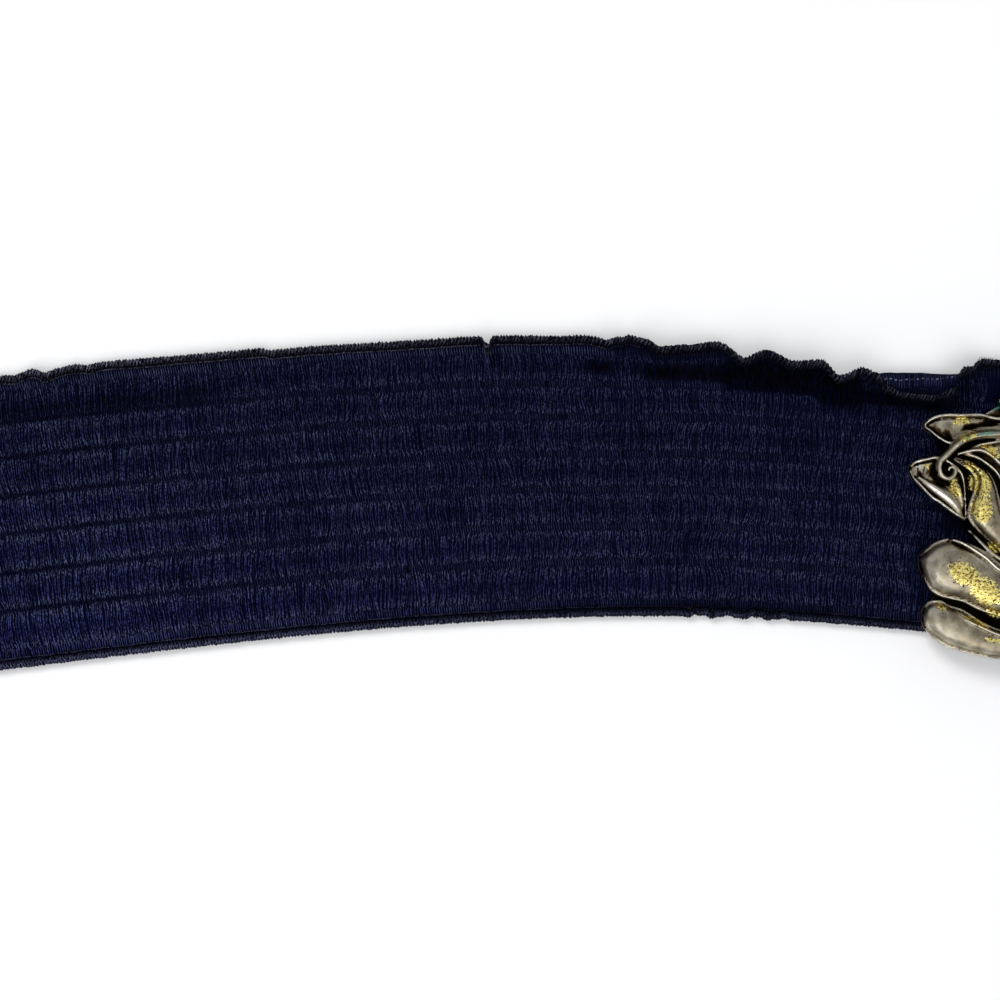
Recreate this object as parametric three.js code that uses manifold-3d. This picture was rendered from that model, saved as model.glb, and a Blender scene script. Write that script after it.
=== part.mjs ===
// An elastic cinch belt, laid open and face up on a flat surface.
// Seven puffed channels run the length of the elastic. Its ends fold back round wire bars behind the two
// halves of a cast leaf-and-petal clasp, which fasten with a plain stamped hook and keeper.
// Millimetres, +Z up. X runs along the belt towards the hook, Y across it, and the surface is Z = 0.

import * as THREE from "three";
import { mergeVertices } from "three/addons/utils/BufferGeometryUtils.js";
import Module from "manifold-3d";

const wasm = await Module();
wasm.setup();

// The belt as a whole
const BELT_LENGTH = 668; // from seam to seam, along the lower edge
const BAND_WIDTH = 76; // over both edge cords, where the elastic lies relaxed
const CLEARANCE = 0.3; // between pieces that touch on the real belt
const MIDDLE_X = -2.49; // middle of the lower edge, which puts the origin under the box's centre
const MIDDLE_Y = -19.76;

// The elastic, in heights above the lower edge of the relaxed band
const ROW_HEIGHTS = [3.9, 14.8, 24.4, 34.3, 43.9, 53.8, 62.6, 71.9]; // the stitched rows
const ROW_THICKNESS = 1.05; // where a row of stitches holds the two faces together
const PUFF_THICKNESS = 1.95; // over the crown of a channel
const FLAT_THICKNESS = 1.2; // where the elastic is folded and sewn flat behind the clasp
const SHOULDER = 0.27; // part of a channel's width from its row to its shoulder
const TOP_SHOULDER = 1.8; // from the seventh row to the shoulder of the top channel
const SQUEEZED_AT = 1.2; // roll of the edge, in radians, that squeezes its channel flat
const CORD_DIAMETER = 2.6;
const CORD_SIDES = 6;
const CORD_GAP = 0.4; // from the elastic, which bends beside it
const CORD_END = 31; // from the seam, where an edge cord stops under the casting

// Sections of the elastic
const RISE_STEPS = 3; // up to the bar
const TURN_STEPS = 5; // round the bar
const LONGEST_STEP = 20; // where the edge is calm
const DEGREES_PER_STEP = 30; // where it curls

// How the upper edge stands up and rolls over
const LIFT_BEND = 4.0; // length of elastic that bends up, starting at the seventh row
const CURL_BEND = 4.9; // length of elastic that rolls over
const CURL_FLAT = 1.4; // flat strip left between the roll and the cord
const CURL_STEPS = 3;

// The clasp, seen from its seam, which is the belt's end
const CLASP_HEIGHT = 35.7; // from the lower edge of the elastic up to the middle of the clasp
const BAR_FROM_SEAM = 20;
const BAR_DIAMETER = 2.6;
const BAR_LENGTH = 70.6;
const CASTING_BACK = 5.9; // height of the flat back of a casting
const WEB_THICKNESS = 1.5;
const EAR_GRIP = 2.3; // length of bar inside a cast ear
const EAR_WALL = 0.9;
const SEAM_GAP = 0.2;
const TAIL_LENGTH = 16; // elastic that returns behind the bar
const TAIL_COVER = [-5, 1]; // from the tail's end, where the front elastic lies on the tail
const TAIL_STEP = 9; // past the tail's end, where the front elastic is down on the surface

// The stamped plates and the rivets that are cast with the clasp
const PLATE_THICKNESS = 1.2;
const RIVET_DIAMETER = 2.6;
const RIVET_HEAD = 4.4;
const RIVET_HEAD_HEIGHT = 0.8;
const RIVET_FROM_SEAM = 7.5;
const HOOK_WIDTH = 20;
const HOOK_REACH = 10.7; // from the seam to the tip of the hook
const HOOK_ROOT = 13.5; // from the seam back to the end of the plate
const HOOK_RIVET_SPACING = 12;
const TONGUE_BOTTOM = 1.9;
const KEEPER_NEAR = 1.0; // from the seam to the near edge of the bridge
const KEEPER_DEPTH = 14.4; // along X
const KEEPER_BRIDGE = 32; // outer width of the bridge, across the belt
const KEEPER_WIDTH = 48; // over the two riveted feet
const KEEPER_RIVET_SPACING = 41;
const SLOT_NEAR = 7.6; // from the seam
const SLOT_FAR = 13.8;
const SLOT_WIDTH = 23;

// Direction of the lower edge, in degrees, by distance from the seam of the nearest clasp half. The belt
// lies in a shallow arch, and each half of it mirrors the other.
const ARCH = [
  { fromSeam: 0, heading: -11.9 },
  { fromSeam: 40, heading: -12.4 },
  { fromSeam: 54, heading: -13.1 },
  { fromSeam: 80, heading: -11.2 },
  { fromSeam: 119, heading: -7.1 },
  { fromSeam: 158, heading: -4.2 },
  { fromSeam: 210, heading: -1.7 },
  { fromSeam: 250, heading: -0.8 },
  { fromSeam: 334, heading: 0 },
];

// The elastic is narrower where it is held by the clasp.
const NARROWING = [
  { fromSeam: 0, width: 0.93 },
  { fromSeam: 70, width: 0.93 },
  { fromSeam: 119, width: 0.94 },
  { fromSeam: 163, width: 0.963 },
  { fromSeam: 210, width: 0.976 },
  { fromSeam: 270, width: 0.995 },
  { fromSeam: 334, width: 1.0 },
];

// The ruffles of the upper edge, by distance from the seam: lift is how steeply the top channel stands up,
// and curl how far its outer half then rolls over, both in degrees.
const HOOK_RUFFLES = [
  { fromSeam: 33, lift: 0, curl: 0 },
  { fromSeam: 37, lift: 1, curl: 8 },
  { fromSeam: 40, lift: 8, curl: 62 },
  { fromSeam: 45.5, lift: 10, curl: 126 },
  { fromSeam: 50.5, lift: 8, curl: 152 },
  { fromSeam: 58, lift: 8, curl: 152 },
  { fromSeam: 62.5, lift: 12, curl: 130 },
  { fromSeam: 65, lift: 22, curl: 84 },
  { fromSeam: 68, lift: 28, curl: 54 },
  { fromSeam: 74, lift: 45, curl: 58 },
  { fromSeam: 77.5, lift: 26, curl: 51 },
  { fromSeam: 84, lift: 26, curl: 55 },
  { fromSeam: 90, lift: 14, curl: 43 },
  { fromSeam: 95.5, lift: 27, curl: 54 },
  { fromSeam: 101.5, lift: 8, curl: 20 },
  { fromSeam: 107, lift: 11, curl: 36 },
  { fromSeam: 112.5, lift: 16, curl: 44 },
  { fromSeam: 119.5, lift: 4, curl: 12 },
  { fromSeam: 124, lift: 8, curl: 34 },
  { fromSeam: 129, lift: 3, curl: 14 },
  { fromSeam: 153.0, lift: 3, curl: 11 },
  { fromSeam: 156.5, lift: 18, curl: 56 },
  { fromSeam: 160.0, lift: 3, curl: 11 },
  { fromSeam: 205, lift: 3, curl: 9 },
  { fromSeam: 268, lift: 1, curl: 5 },
  { fromSeam: 272.5, lift: 6, curl: 44 },
  { fromSeam: 277, lift: 2, curl: 9 },
  { fromSeam: 334, lift: 1, curl: 6 },
];
const CATCH_RUFFLES = [
  { fromSeam: 33, lift: 0, curl: 0 },
  { fromSeam: 42, lift: 2, curl: 14 },
  { fromSeam: 51, lift: 20, curl: 60 },
  { fromSeam: 60, lift: 34, curl: 70 },
  { fromSeam: 70, lift: 20, curl: 46 },
  { fromSeam: 80, lift: 26, curl: 64 },
  { fromSeam: 90, lift: 12, curl: 30 },
  { fromSeam: 100, lift: 16, curl: 52 },
  { fromSeam: 112, lift: 6, curl: 18 },
  { fromSeam: 140, lift: 3, curl: 10 },
  { fromSeam: 148, lift: 10, curl: 44 },
  { fromSeam: 156, lift: 3, curl: 9 },
  { fromSeam: 334, lift: 1, curl: 6 },
];

// The ornament of a casting, in the clasp's own frame: the seam is x = 0, the belt is towards -x and y = 0
// is mid-height. Each row is a section of a leaf: its middle, half its width, and the heights of its flat
// underside and its crest.
// "dome" sections swell up, "dished" ones have a raised rim round a hollow, "ridge" ones are a round bead.
const LEAVES = {
  crest_petal: {
    section: "dome",
    rows: [
      { x: -33.0, y: 24.0, half: 0.8, base: 5.9, crest: 8.4 },
      { x: -28.8, y: 25.9, half: 2.3, base: 5.9, crest: 10.0 },
      { x: -24.0, y: 30.0, half: 4.1, base: 5.9, crest: 10.9 },
      { x: -17.5, y: 33.4, half: 5.0, base: 5.9, crest: 11.1 },
      { x: -1.0, y: 33.9, half: 4.6, base: 5.9, crest: 10.4 },
    ],
  },
  tip_leaf: {
    section: "dished",
    rows: [
      { x: -49.2, y: 18.0, half: 1.5, base: 4.8, crest: 7.8 },
      { x: -46.6, y: 17.3, half: 3.1, base: 4.8, crest: 8.8 },
      { x: -42.4, y: 16.9, half: 4.2, base: 4.9, crest: 9.6 },
      { x: -36.5, y: 17.8, half: 3.4, base: 5.6, crest: 9.7 },
      { x: -27.0, y: 20.2, half: 2.8, base: 5.9, crest: 9.3 },
      { x: -14.0, y: 25.2, half: 3.4, base: 5.9, crest: 9.0 },
      { x: -1.0, y: 26.5, half: 3.6, base: 5.9, crest: 9.0 },
    ],
  },
  beak_leaf: {
    section: "dome",
    rows: [
      { x: -52.0, y: 5.9, half: 1.6, base: 4.8, crest: 7.6 },
      { x: -49.9, y: 5.7, half: 3.3, base: 4.8, crest: 8.9 },
      { x: -46.2, y: 4.3, half: 4.4, base: 4.8, crest: 9.9 },
      { x: -42.6, y: 1.4, half: 4.4, base: 4.9, crest: 10.2 },
      { x: -39.4, y: -2.0, half: 3.1, base: 5.2, crest: 9.6 },
      { x: -36.0, y: -6.4, half: 0.9, base: 5.6, crest: 8.2 },
    ],
  },
  inner_leaf: {
    section: "dished",
    rows: [
      { x: -40.1, y: 10.2, half: 0.7, base: 5.9, crest: 8.6 },
      { x: -35.5, y: 11.1, half: 1.7, base: 5.9, crest: 9.2 },
      { x: -30.0, y: 9.4, half: 3.1, base: 5.9, crest: 9.6 },
      { x: -22.6, y: 3.8, half: 4.8, base: 5.9, crest: 9.8 },
      { x: -14.6, y: -4.4, half: 5.0, base: 5.9, crest: 9.6 },
      { x: -1.0, y: -11.5, half: 5.0, base: 5.9, crest: 9.2 },
    ],
  },
  broad_leaf: {
    section: "dished",
    rows: [
      { x: -39.8, y: 9.0, half: 0.8, base: 5.9, crest: 8.8 },
      { x: -36.0, y: 8.0, half: 2.2, base: 5.9, crest: 9.8 },
      { x: -32.9, y: 4.9, half: 3.3, base: 5.9, crest: 10.4 },
      { x: -31.8, y: -2.4, half: 4.0, base: 5.9, crest: 10.6 },
      { x: -29.0, y: -9.8, half: 4.7, base: 5.9, crest: 10.6 },
      { x: -20.6, y: -17.4, half: 4.3, base: 5.9, crest: 10.2 },
      { x: -1.0, y: -23.5, half: 3.6, base: 5.9, crest: 9.6 },
    ],
  },
  arch_scroll: {
    section: "ridge",
    rows: [
      { x: -41.9, y: 4.2, half: 0.9, base: 7.0, crest: 10.4 },
      { x: -44.2, y: 6.0, half: 1.0, base: 7.0, crest: 11.0 },
      { x: -43.0, y: 9.5, half: 1.1, base: 7.0, crest: 11.5 },
      { x: -39.4, y: 12.9, half: 1.2, base: 7.0, crest: 11.8 },
      { x: -31.0, y: 15.8, half: 1.3, base: 7.0, crest: 11.9 },
      { x: -20.0, y: 15.6, half: 1.5, base: 7.0, crest: 11.8 },
      { x: -9.0, y: 12.0, half: 2.2, base: 7.0, crest: 11.2 },
      { x: -1.0, y: 7.5, half: 3.4, base: 7.0, crest: 10.6 },
    ],
  },
  big_lobe: {
    section: "dome",
    rows: [
      { x: -47.8, y: -17.6, half: 2.9, base: 4.7, crest: 8.4 },
      { x: -45.6, y: -17.9, half: 5.2, base: 4.7, crest: 10.4 },
      { x: -40.8, y: -19.2, half: 6.8, base: 4.8, crest: 12.0 },
      { x: -33.6, y: -22.0, half: 7.2, base: 5.9, crest: 12.4 },
      { x: -22.0, y: -25.8, half: 6.5, base: 5.9, crest: 12.0 },
      { x: -1.0, y: -29.0, half: 4.2, base: 5.9, crest: 10.6 },
    ],
  },
  low_lobe: {
    section: "dome",
    rows: [
      { x: -45.8, y: -32.1, half: 2.5, base: 4.7, crest: 7.9 },
      { x: -43.4, y: -32.6, half: 4.3, base: 4.7, crest: 9.8 },
      { x: -37.0, y: -34.6, half: 5.2, base: 5.4, crest: 11.2 },
      { x: -26.0, y: -37.2, half: 4.6, base: 5.9, crest: 11.2 },
      { x: -12.0, y: -38.4, half: 4.2, base: 5.9, crest: 11.0 },
      { x: -1.0, y: -37.4, half: 3.8, base: 5.9, crest: 10.4 },
    ],
  },
  seam_rib: {
    section: "ridge",
    rows: [
      { x: -1.7, y: 37.6, half: 1.5, base: 5.9, crest: 10.2 },
      { x: -1.7, y: 0, half: 1.5, base: 5.9, crest: 11.2 },
      { x: -1.7, y: -40.6, half: 1.5, base: 5.9, crest: 10.2 },
    ],
  },
};

// Sections of the leaves: across is a part of half the width, up a part of the height from edge to crest.
const LEAF_SECTIONS = {
  dome: [
    { across: -1, up: 0 },
    { across: -0.78, up: 0.66 },
    { across: -0.34, up: 0.96 },
    { across: 0.34, up: 0.96 },
    { across: 0.78, up: 0.66 },
    { across: 1, up: 0 },
  ],
  dished: [
    { across: -1, up: 0.25 },
    { across: -0.82, up: 1 },
    { across: -0.45, up: 0.55 },
    { across: 0.45, up: 0.55 },
    { across: 0.82, up: 1 },
    { across: 1, up: 0.25 },
  ],
  ridge: [
    { across: -1, up: 0.2 },
    { across: -0.5, up: 0.9 },
    { across: 0.5, up: 0.9 },
    { across: 1, up: 0.2 },
  ],
};
const LEAF_SIDE = 0.4; // part of a leaf's height that its upright side takes
const STEPS_PER_ROW = 1.15; // sections along a leaf for each row of its table

// Outline of the thin web that ties the leaves together behind, in the clasp's frame
const WEB_OUTLINE = [
  [-SEAM_GAP, 36.8], [-18.5, 37.2], [-25, 31], [-30, 24], [-36, 19.5], [-45, 18.6], [-41.5, 12.2],
  [-46.6, 8], [-48.6, 4.4], [-43, -1], [-36.4, -7.4], [-41, -13.6], [-45.2, -19], [-41.2, -27.4],
  [-43.2, -32.4], [-36, -37.6], [-24, -40.2], [-SEAM_GAP, -39.8],
];

// Blends the value of a column between the rows of a table, level at each row.
function fromTable(table, key, at, column) {
  const last = table.length - 1;
  if (at <= table[0][key]) return table[0][column];
  if (at >= table[last][key]) return table[last][column];
  const i = table.findIndex((row) => row[key] > at) - 1;
  const t = (at - table[i][key]) / (table[i + 1][key] - table[i][key]);
  const eased = t * t * (3 - 2 * t);
  return table[i][column] + (table[i + 1][column] - table[i][column]) * eased;
}

// The same with straight lines between the rows.
function alongTable(table, key, at, column) {
  const last = table.length - 1;
  if (at >= table[last][key]) return table[last][column];
  const i = Math.max(table.findIndex((row) => row[key] > at) - 1, 0);
  const t = (at - table[i][key]) / (table[i + 1][key] - table[i][key]);
  return table[i][column] + (table[i + 1][column] - table[i][column]) * t;
}

function clampTo01(value) {
  return Math.min(Math.max(value, 0), 1);
}

// Direction of the lower edge, in radians, at a distance from the hook's seam.
function headingAt(station) {
  const nearHook = station <= BELT_LENGTH / 2;
  const fromSeam = nearHook ? station : BELT_LENGTH - station;
  const heading = THREE.MathUtils.degToRad(alongTable(ARCH, "fromSeam", fromSeam, "heading"));
  return nearHook ? heading : -heading;
}

// The lower edge as a line on the surface, walked from its middle to a station.
function lowerEdgeAt(station) {
  const middle = BELT_LENGTH / 2;
  const steps = Math.max(Math.ceil(Math.abs(station - middle) / 2), 1);
  const step = (station - middle) / steps;
  const point = new THREE.Vector3(MIDDLE_X, MIDDLE_Y, 0);
  for (let i = 0; i < steps; i++) {
    const heading = headingAt(middle + (i + 0.5) * step);
    point.x -= Math.cos(heading) * step;
    point.y -= Math.sin(heading) * step;
  }
  return point;
}

// Joins rings of equally many points into one closed surface, with a flat face at each end.
function loft(rings) {
  const around = rings[0].length;
  const positions = [];
  const faces = [];
  rings.forEach((ring) => ring.forEach((p) => positions.push(p.x, p.y, p.z)));
  for (let i = 0; i + 1 < rings.length; i++) {
    for (let j = 0; j < around; j++) {
      const a = i * around + j;
      const b = i * around + ((j + 1) % around);
      faces.push(a, b, b + around, a, b + around, a + around);
    }
  }
  capRing(rings[0], 0).forEach(([a, b, c]) => faces.push(a, c, b));
  capRing(rings.at(-1), (rings.length - 1) * around).forEach((face) => faces.push(...face));
  return closedGeometry(positions, faces);
}

// Triangles that close a ring, worked out in the ring's own plane.
function capRing(ring, first) {
  const normal = new THREE.Vector3();
  ring.forEach((p, i) => normal.add(new THREE.Vector3().crossVectors(p, ring[(i + 1) % ring.length])));
  normal.normalize();
  const across = ring[1].clone().sub(ring[0]).normalize();
  const up = new THREE.Vector3().crossVectors(normal, across);
  const flat = ring.map((p) => new THREE.Vector2(p.dot(across), p.dot(up)));
  return THREE.ShapeUtils.triangulateShape(flat, []).map((face) => face.map((i) => i + first));
}

function closedGeometry(positions, faces) {
  const geometry = new THREE.BufferGeometry();
  geometry.setAttribute("position", new THREE.Float32BufferAttribute(positions, 3));
  geometry.setIndex(faces);
  return volumeOf(geometry) < 0 ? turnedOut(geometry) : geometry;
}

function volumeOf(geometry) {
  const p = geometry.attributes.position;
  const index = geometry.index.array;
  const corner = (i) => new THREE.Vector3().fromBufferAttribute(p, index[i]);
  let six = 0;
  for (let i = 0; i < index.length; i += 3) six += corner(i).dot(corner(i + 1).cross(corner(i + 2)));
  return six / 6;
}

function turnedOut(geometry) {
  const index = geometry.index.array;
  for (let i = 0; i < index.length; i += 3) [index[i + 1], index[i + 2]] = [index[i + 2], index[i + 1]];
  return geometry;
}

// Solids for joining and cutting
function solidFrom(geometry) {
  const bare = new THREE.BufferGeometry().setAttribute("position", geometry.getAttribute("position"));
  if (geometry.index) bare.setIndex(geometry.index);
  const merged = mergeVertices(bare, 1e-4);
  return new wasm.Manifold(
    new wasm.Mesh({
      numProp: 3,
      vertProperties: merged.attributes.position.array,
      triVerts: new Uint32Array(merged.index.array),
    }),
  );
}

function geometryFrom(solid) {
  const mesh = solid.getMesh();
  const geometry = new THREE.BufferGeometry();
  geometry.setAttribute("position", new THREE.BufferAttribute(mesh.vertProperties, 3));
  geometry.setIndex(new THREE.BufferAttribute(mesh.triVerts, 1));
  return geometry;
}

function boxBetween([x0, y0, z0], [x1, y1, z1]) {
  const box = new THREE.BoxGeometry(x1 - x0, y1 - y0, z1 - z0);
  box.translate((x0 + x1) / 2, (y0 + y1) / 2, (z0 + z1) / 2);
  return solidFrom(box);
}

function uprightCylinder(x, y, z0, z1, diameter) {
  const cylinder = new THREE.CylinderGeometry(diameter / 2, diameter / 2, z1 - z0, 12);
  cylinder.rotateX(Math.PI / 2);
  cylinder.translate(x, y, (z0 + z1) / 2);
  return solidFrom(cylinder);
}

// The elastic: its section

// A section stands across the belt. u runs along the elastic from the lower edge, and the returned line
// gives the place and slope of its underside at each u. A sewn section is folded back behind the clasp, and
// lies flat.
function undersideAt(station, sewn = false) {
  const nearHook = station <= BELT_LENGTH / 2;
  const fromSeam = sewn ? 0 : distanceFromSeam(station);
  const ruffles = nearHook ? HOOK_RUFFLES : CATCH_RUFFLES;
  const scale = fromTable(NARROWING, "fromSeam", fromSeam, "width");
  const lift = THREE.MathUtils.degToRad(fromTable(ruffles, "fromSeam", fromSeam, "lift"));
  const curl = THREE.MathUtils.degToRad(fromTable(ruffles, "fromSeam", fromSeam, "curl"));
  const width = BAND_WIDTH * scale;
  const liftStart = ROW_HEIGHTS[6] * scale;
  const curlStart = width - CORD_DIAMETER - CORD_GAP - CURL_FLAT - CURL_BEND;
  const slope = (u) =>
    lift * clampTo01((u - liftStart) / LIFT_BEND) + curl * clampTo01((u - curlStart) / CURL_BEND);
  const step = 0.1;
  const place = (u) => {
    let y = Math.min(u, liftStart);
    let z = 0;
    for (let v = liftStart; v < u; v += step) {
      const length = Math.min(step, u - v);
      y += Math.cos(slope(v + length / 2)) * length;
      z += Math.sin(slope(v + length / 2)) * length;
    }
    return { y, z, slope: slope(u) };
  };
  return { scale, width, liftStart, curlStart, curl, place };
}

// Points of a section's outline, as pairs across and above the lower edge. puff is 1 where the channels swell
// and 0 where the elastic is pressed flat.
function bandSection(station, puff, sewn) {
  const line = undersideAt(station, sewn);
  const start = CORD_DIAMETER + CORD_GAP;
  const end = line.width - CORD_DIAMETER - CORD_GAP;
  const row = THREE.MathUtils.lerp(FLAT_THICKNESS, ROW_THICKNESS, puff);
  const crown = THREE.MathUtils.lerp(FLAT_THICKNESS, PUFF_THICKNESS, puff);
  const outline = [];
  const addTop = (u, thickness) => {
    const at = line.place(u);
    outline.push([at.y - Math.sin(at.slope) * thickness, at.z + Math.cos(at.slope) * thickness]);
  };
  addTop(start, row);
  for (let i = 0; i < 6; i++) {
    const low = ROW_HEIGHTS[i] * line.scale;
    const high = ROW_HEIGHTS[i + 1] * line.scale;
    if (i > 0) addTop(low, row);
    addTop(THREE.MathUtils.lerp(low, high, SHOULDER), crown);
    addTop(THREE.MathUtils.lerp(low, high, 1 - SHOULDER), crown);
  }
  addTop(line.liftStart, row);
  const rolled = THREE.MathUtils.lerp(crown, row, clampTo01(line.curl / SQUEEZED_AT));
  const inCurl = (i) => line.curlStart + (CURL_BEND * i) / CURL_STEPS;
  addTop(line.liftStart + TOP_SHOULDER, crown);
  for (let i = 0; i <= CURL_STEPS; i++) addTop(inCurl(i), THREE.MathUtils.lerp(rolled, row, i / CURL_STEPS));
  addTop(end, row);
  const underside = [end];
  for (let i = CURL_STEPS; i >= 0; i--) underside.push(inCurl(i));
  underside.push(line.liftStart, start);
  underside.forEach((u) => {
    const at = line.place(u);
    outline.push([at.y, at.z]);
  });
  return outline;
}

// Middle of each cord beside a section, clear of the elastic and resting on the surface where it can.
function cordCentre(station, edge) {
  const line = undersideAt(station);
  const radius = CORD_DIAMETER / 2;
  const restHeight = radius * Math.cos(Math.PI / CORD_SIDES);
  if (edge === "lower") return [radius, restHeight];
  const end = line.place(line.width - CORD_DIAMETER - CORD_GAP);
  const reach = radius + CORD_GAP;
  const y = end.y + Math.cos(end.slope) * reach - (Math.sin(end.slope) * ROW_THICKNESS) / 2;
  const z = end.z + Math.sin(end.slope) * reach + (Math.cos(end.slope) * ROW_THICKNESS) / 2;
  return [y, Math.max(z, restHeight)];
}

// The elastic: where its sections stand

// Distances from a seam at which the front of the elastic has a section: at each row of the ruffles, and
// between rows where the edge changes fast or the rows are far apart.
function frontDistances(ruffles) {
  const rise = Array.from({ length: RISE_STEPS }, (_, i) => BAR_FROM_SEAM + (12 * i) / RISE_STEPS);
  const distances = [...rise];
  for (let i = 0; i + 1 < ruffles.length; i++) {
    const from = ruffles[i].fromSeam;
    const length = ruffles[i + 1].fromSeam - from;
    const change = Math.abs(ruffles[i + 1].curl - ruffles[i].curl);
    const steps = Math.max(Math.ceil(length / LONGEST_STEP), Math.round(change / DEGREES_PER_STEP), 1);
    for (let k = 0; k < steps; k++) distances.push(from + (length * k) / steps);
  }
  return distances;
}

// Height of the front elastic's underside: flat on the surface, over its own tail, and up to the top of the
// bar.
function frontHeight(fromSeam) {
  const tailEnd = BAR_FROM_SEAM + TAIL_LENGTH;
  const overTail = FLAT_THICKNESS + CLEARANCE;
  const barTop = FLAT_THICKNESS + BAR_DIAMETER + 2 * CLEARANCE;
  const heights = [
    { fromSeam: BAR_FROM_SEAM, height: barTop },
    { fromSeam: tailEnd + TAIL_COVER[0], height: overTail },
    { fromSeam: tailEnd + TAIL_COVER[1], height: overTail },
    { fromSeam: tailEnd + TAIL_STEP, height: 0 },
  ];
  return fromTable(heights, "fromSeam", fromSeam, "height");
}

// A place that a section passes through: a point above the lower edge, the direction across the belt, and the
// direction up from the elastic. pitch is how steeply the elastic climbs towards the hook's seam.
function frameAt(station, height, pitch) {
  const heading = headingAt(station);
  const foot = lowerEdgeAt(station).setZ(height);
  const across = new THREE.Vector3(-Math.sin(heading), Math.cos(heading), 0);
  const along = new THREE.Vector3(Math.cos(heading), Math.sin(heading), 0);
  const up = new THREE.Vector3(0, 0, Math.cos(pitch)).addScaledVector(along, -Math.sin(pitch));
  return { foot, across, up, station };
}

function frontFrame(station) {
  const fromSeam = distanceFromSeam(station);
  const toHook = station <= BELT_LENGTH / 2 ? 1 : -1;
  const climb = (frontHeight(fromSeam - 0.5) - frontHeight(fromSeam + 0.5)) * toHook;
  const puff = clampTo01((fromSeam - BAR_FROM_SEAM - 4) / 14);
  return { ...frameAt(station, frontHeight(fromSeam), Math.atan(climb)), puff, sewn: false };
}

// The elastic turned round the bar and its tail, from the top of the bar back. side is 1 at the hook's end.
function turnedFrames(side) {
  const inner = BAR_DIAMETER / 2 + CLEARANCE;
  const angles = Array.from({ length: TURN_STEPS }, (_, i) => (Math.PI * (i + 1)) / TURN_STEPS);
  const turns = angles.map((angle) => ({
    fromSeam: BAR_FROM_SEAM - inner * Math.sin(angle),
    height: FLAT_THICKNESS + inner + inner * Math.cos(angle),
    pitch: -angle,
  }));
  const tail = { fromSeam: BAR_FROM_SEAM + TAIL_LENGTH, height: FLAT_THICKNESS, pitch: -Math.PI };
  return [...turns, tail].map(({ fromSeam, height, pitch }) => {
    const station = side > 0 ? fromSeam : BELT_LENGTH - fromSeam;
    return { ...frameAt(station, height, pitch * side), puff: 0, sewn: true };
  });
}

function frontFrames() {
  const hook = frontDistances(HOOK_RUFFLES);
  const far = frontDistances(CATCH_RUFFLES).map((s) => BELT_LENGTH - s);
  return [...hook, BELT_LENGTH / 2, ...far.reverse()].map(frontFrame);
}

function elasticBand() {
  const frames = [...turnedFrames(1).reverse(), ...frontFrames(), ...turnedFrames(-1)];
  const rings = frames.map(({ foot, across, up, station, puff, sewn }) =>
    bandSection(station, puff, sewn).map(([y, z]) =>
      foot.clone().addScaledVector(across, y).addScaledVector(up, z),
    ),
  );
  return loft(rings);
}

// A cord follows the elastic's edge and stops where the elastic climbs to the bar.
function edgeCord(edge) {
  const radius = CORD_DIAMETER / 2;
  const frames = frontFrames().filter((frame) => distanceFromSeam(frame.station) > CORD_END);
  const rings = frames.map(({ foot, across, up, station }) => {
    const [y, z] = cordCentre(station, edge);
    return Array.from({ length: CORD_SIDES }, (_, i) => {
      const angle = (2 * Math.PI * (i + 0.5)) / CORD_SIDES;
      return foot
        .clone()
        .addScaledVector(across, y + radius * Math.sin(angle))
        .addScaledVector(up, z - radius * Math.cos(angle));
    });
  });
  return loft(rings);
}

function distanceFromSeam(station) {
  return Math.min(station, BELT_LENGTH - station);
}

// The castings

// One leaf: sections across a smooth line through its rows.
function leafSolid({ section, rows }) {
  const line = new THREE.CatmullRomCurve3(rows.map((r) => new THREE.Vector3(r.x, r.y, r.crest)));
  const sizes = new THREE.CatmullRomCurve3(rows.map((r, i) => new THREE.Vector3(4 * i, r.half, r.base)));
  const steps = Math.round((rows.length - 1) * STEPS_PER_ROW);
  const rings = [];
  for (let i = 0; i <= steps; i++) {
    const middle = line.getPoint(i / steps);
    const direction = line.getTangent(i / steps).setZ(0).normalize();
    const across = new THREE.Vector3(-direction.y, direction.x, 0);
    const { y: half, z: base } = sizes.getPoint(i / steps);
    const side = base + (middle.z - base) * LEAF_SIDE;
    const top = LEAF_SECTIONS[section].map((p) =>
      middle.clone().addScaledVector(across, p.across * half).setZ(side + (middle.z - side) * p.up),
    );
    const under = [0.8, -0.8].map((k) => middle.clone().addScaledVector(across, k * half).setZ(base));
    rings.push([...top, ...under]);
  }
  return solidFrom(loft(rings));
}

function webSolid() {
  const shape = new THREE.Shape(WEB_OUTLINE.map(([x, y]) => new THREE.Vector2(x, y)));
  const plate = new THREE.ExtrudeGeometry(shape, { depth: WEB_THICKNESS, bevelEnabled: false });
  plate.translate(0, 0, CASTING_BACK);
  return solidFrom(plate);
}

// A cast ear that holds one end of the bar in a blind hole.
function barEar(side) {
  const barHeight = FLAT_THICKNESS + CLEARANCE + BAR_DIAMETER / 2;
  const inner = BAR_LENGTH / 2 - EAR_GRIP;
  const holeEnd = BAR_LENGTH / 2 + CLEARANCE;
  const outer = holeEnd + EAR_WALL;
  const holeRadius = BAR_DIAMETER / 2 + CLEARANCE;
  const reach = holeRadius + EAR_WALL;
  const hole = new THREE.CylinderGeometry(holeRadius, holeRadius, 2 * EAR_GRIP, 12);
  hole.translate(-BAR_FROM_SEAM, side * (holeEnd - EAR_GRIP), barHeight);
  const ear = boxBetween(
    [-BAR_FROM_SEAM - reach, Math.min(side * inner, side * outer), barHeight - reach],
    [-BAR_FROM_SEAM + reach, Math.max(side * inner, side * outer), CASTING_BACK + WEB_THICKNESS],
  );
  return ear.subtract(solidFrom(hole));
}

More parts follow.
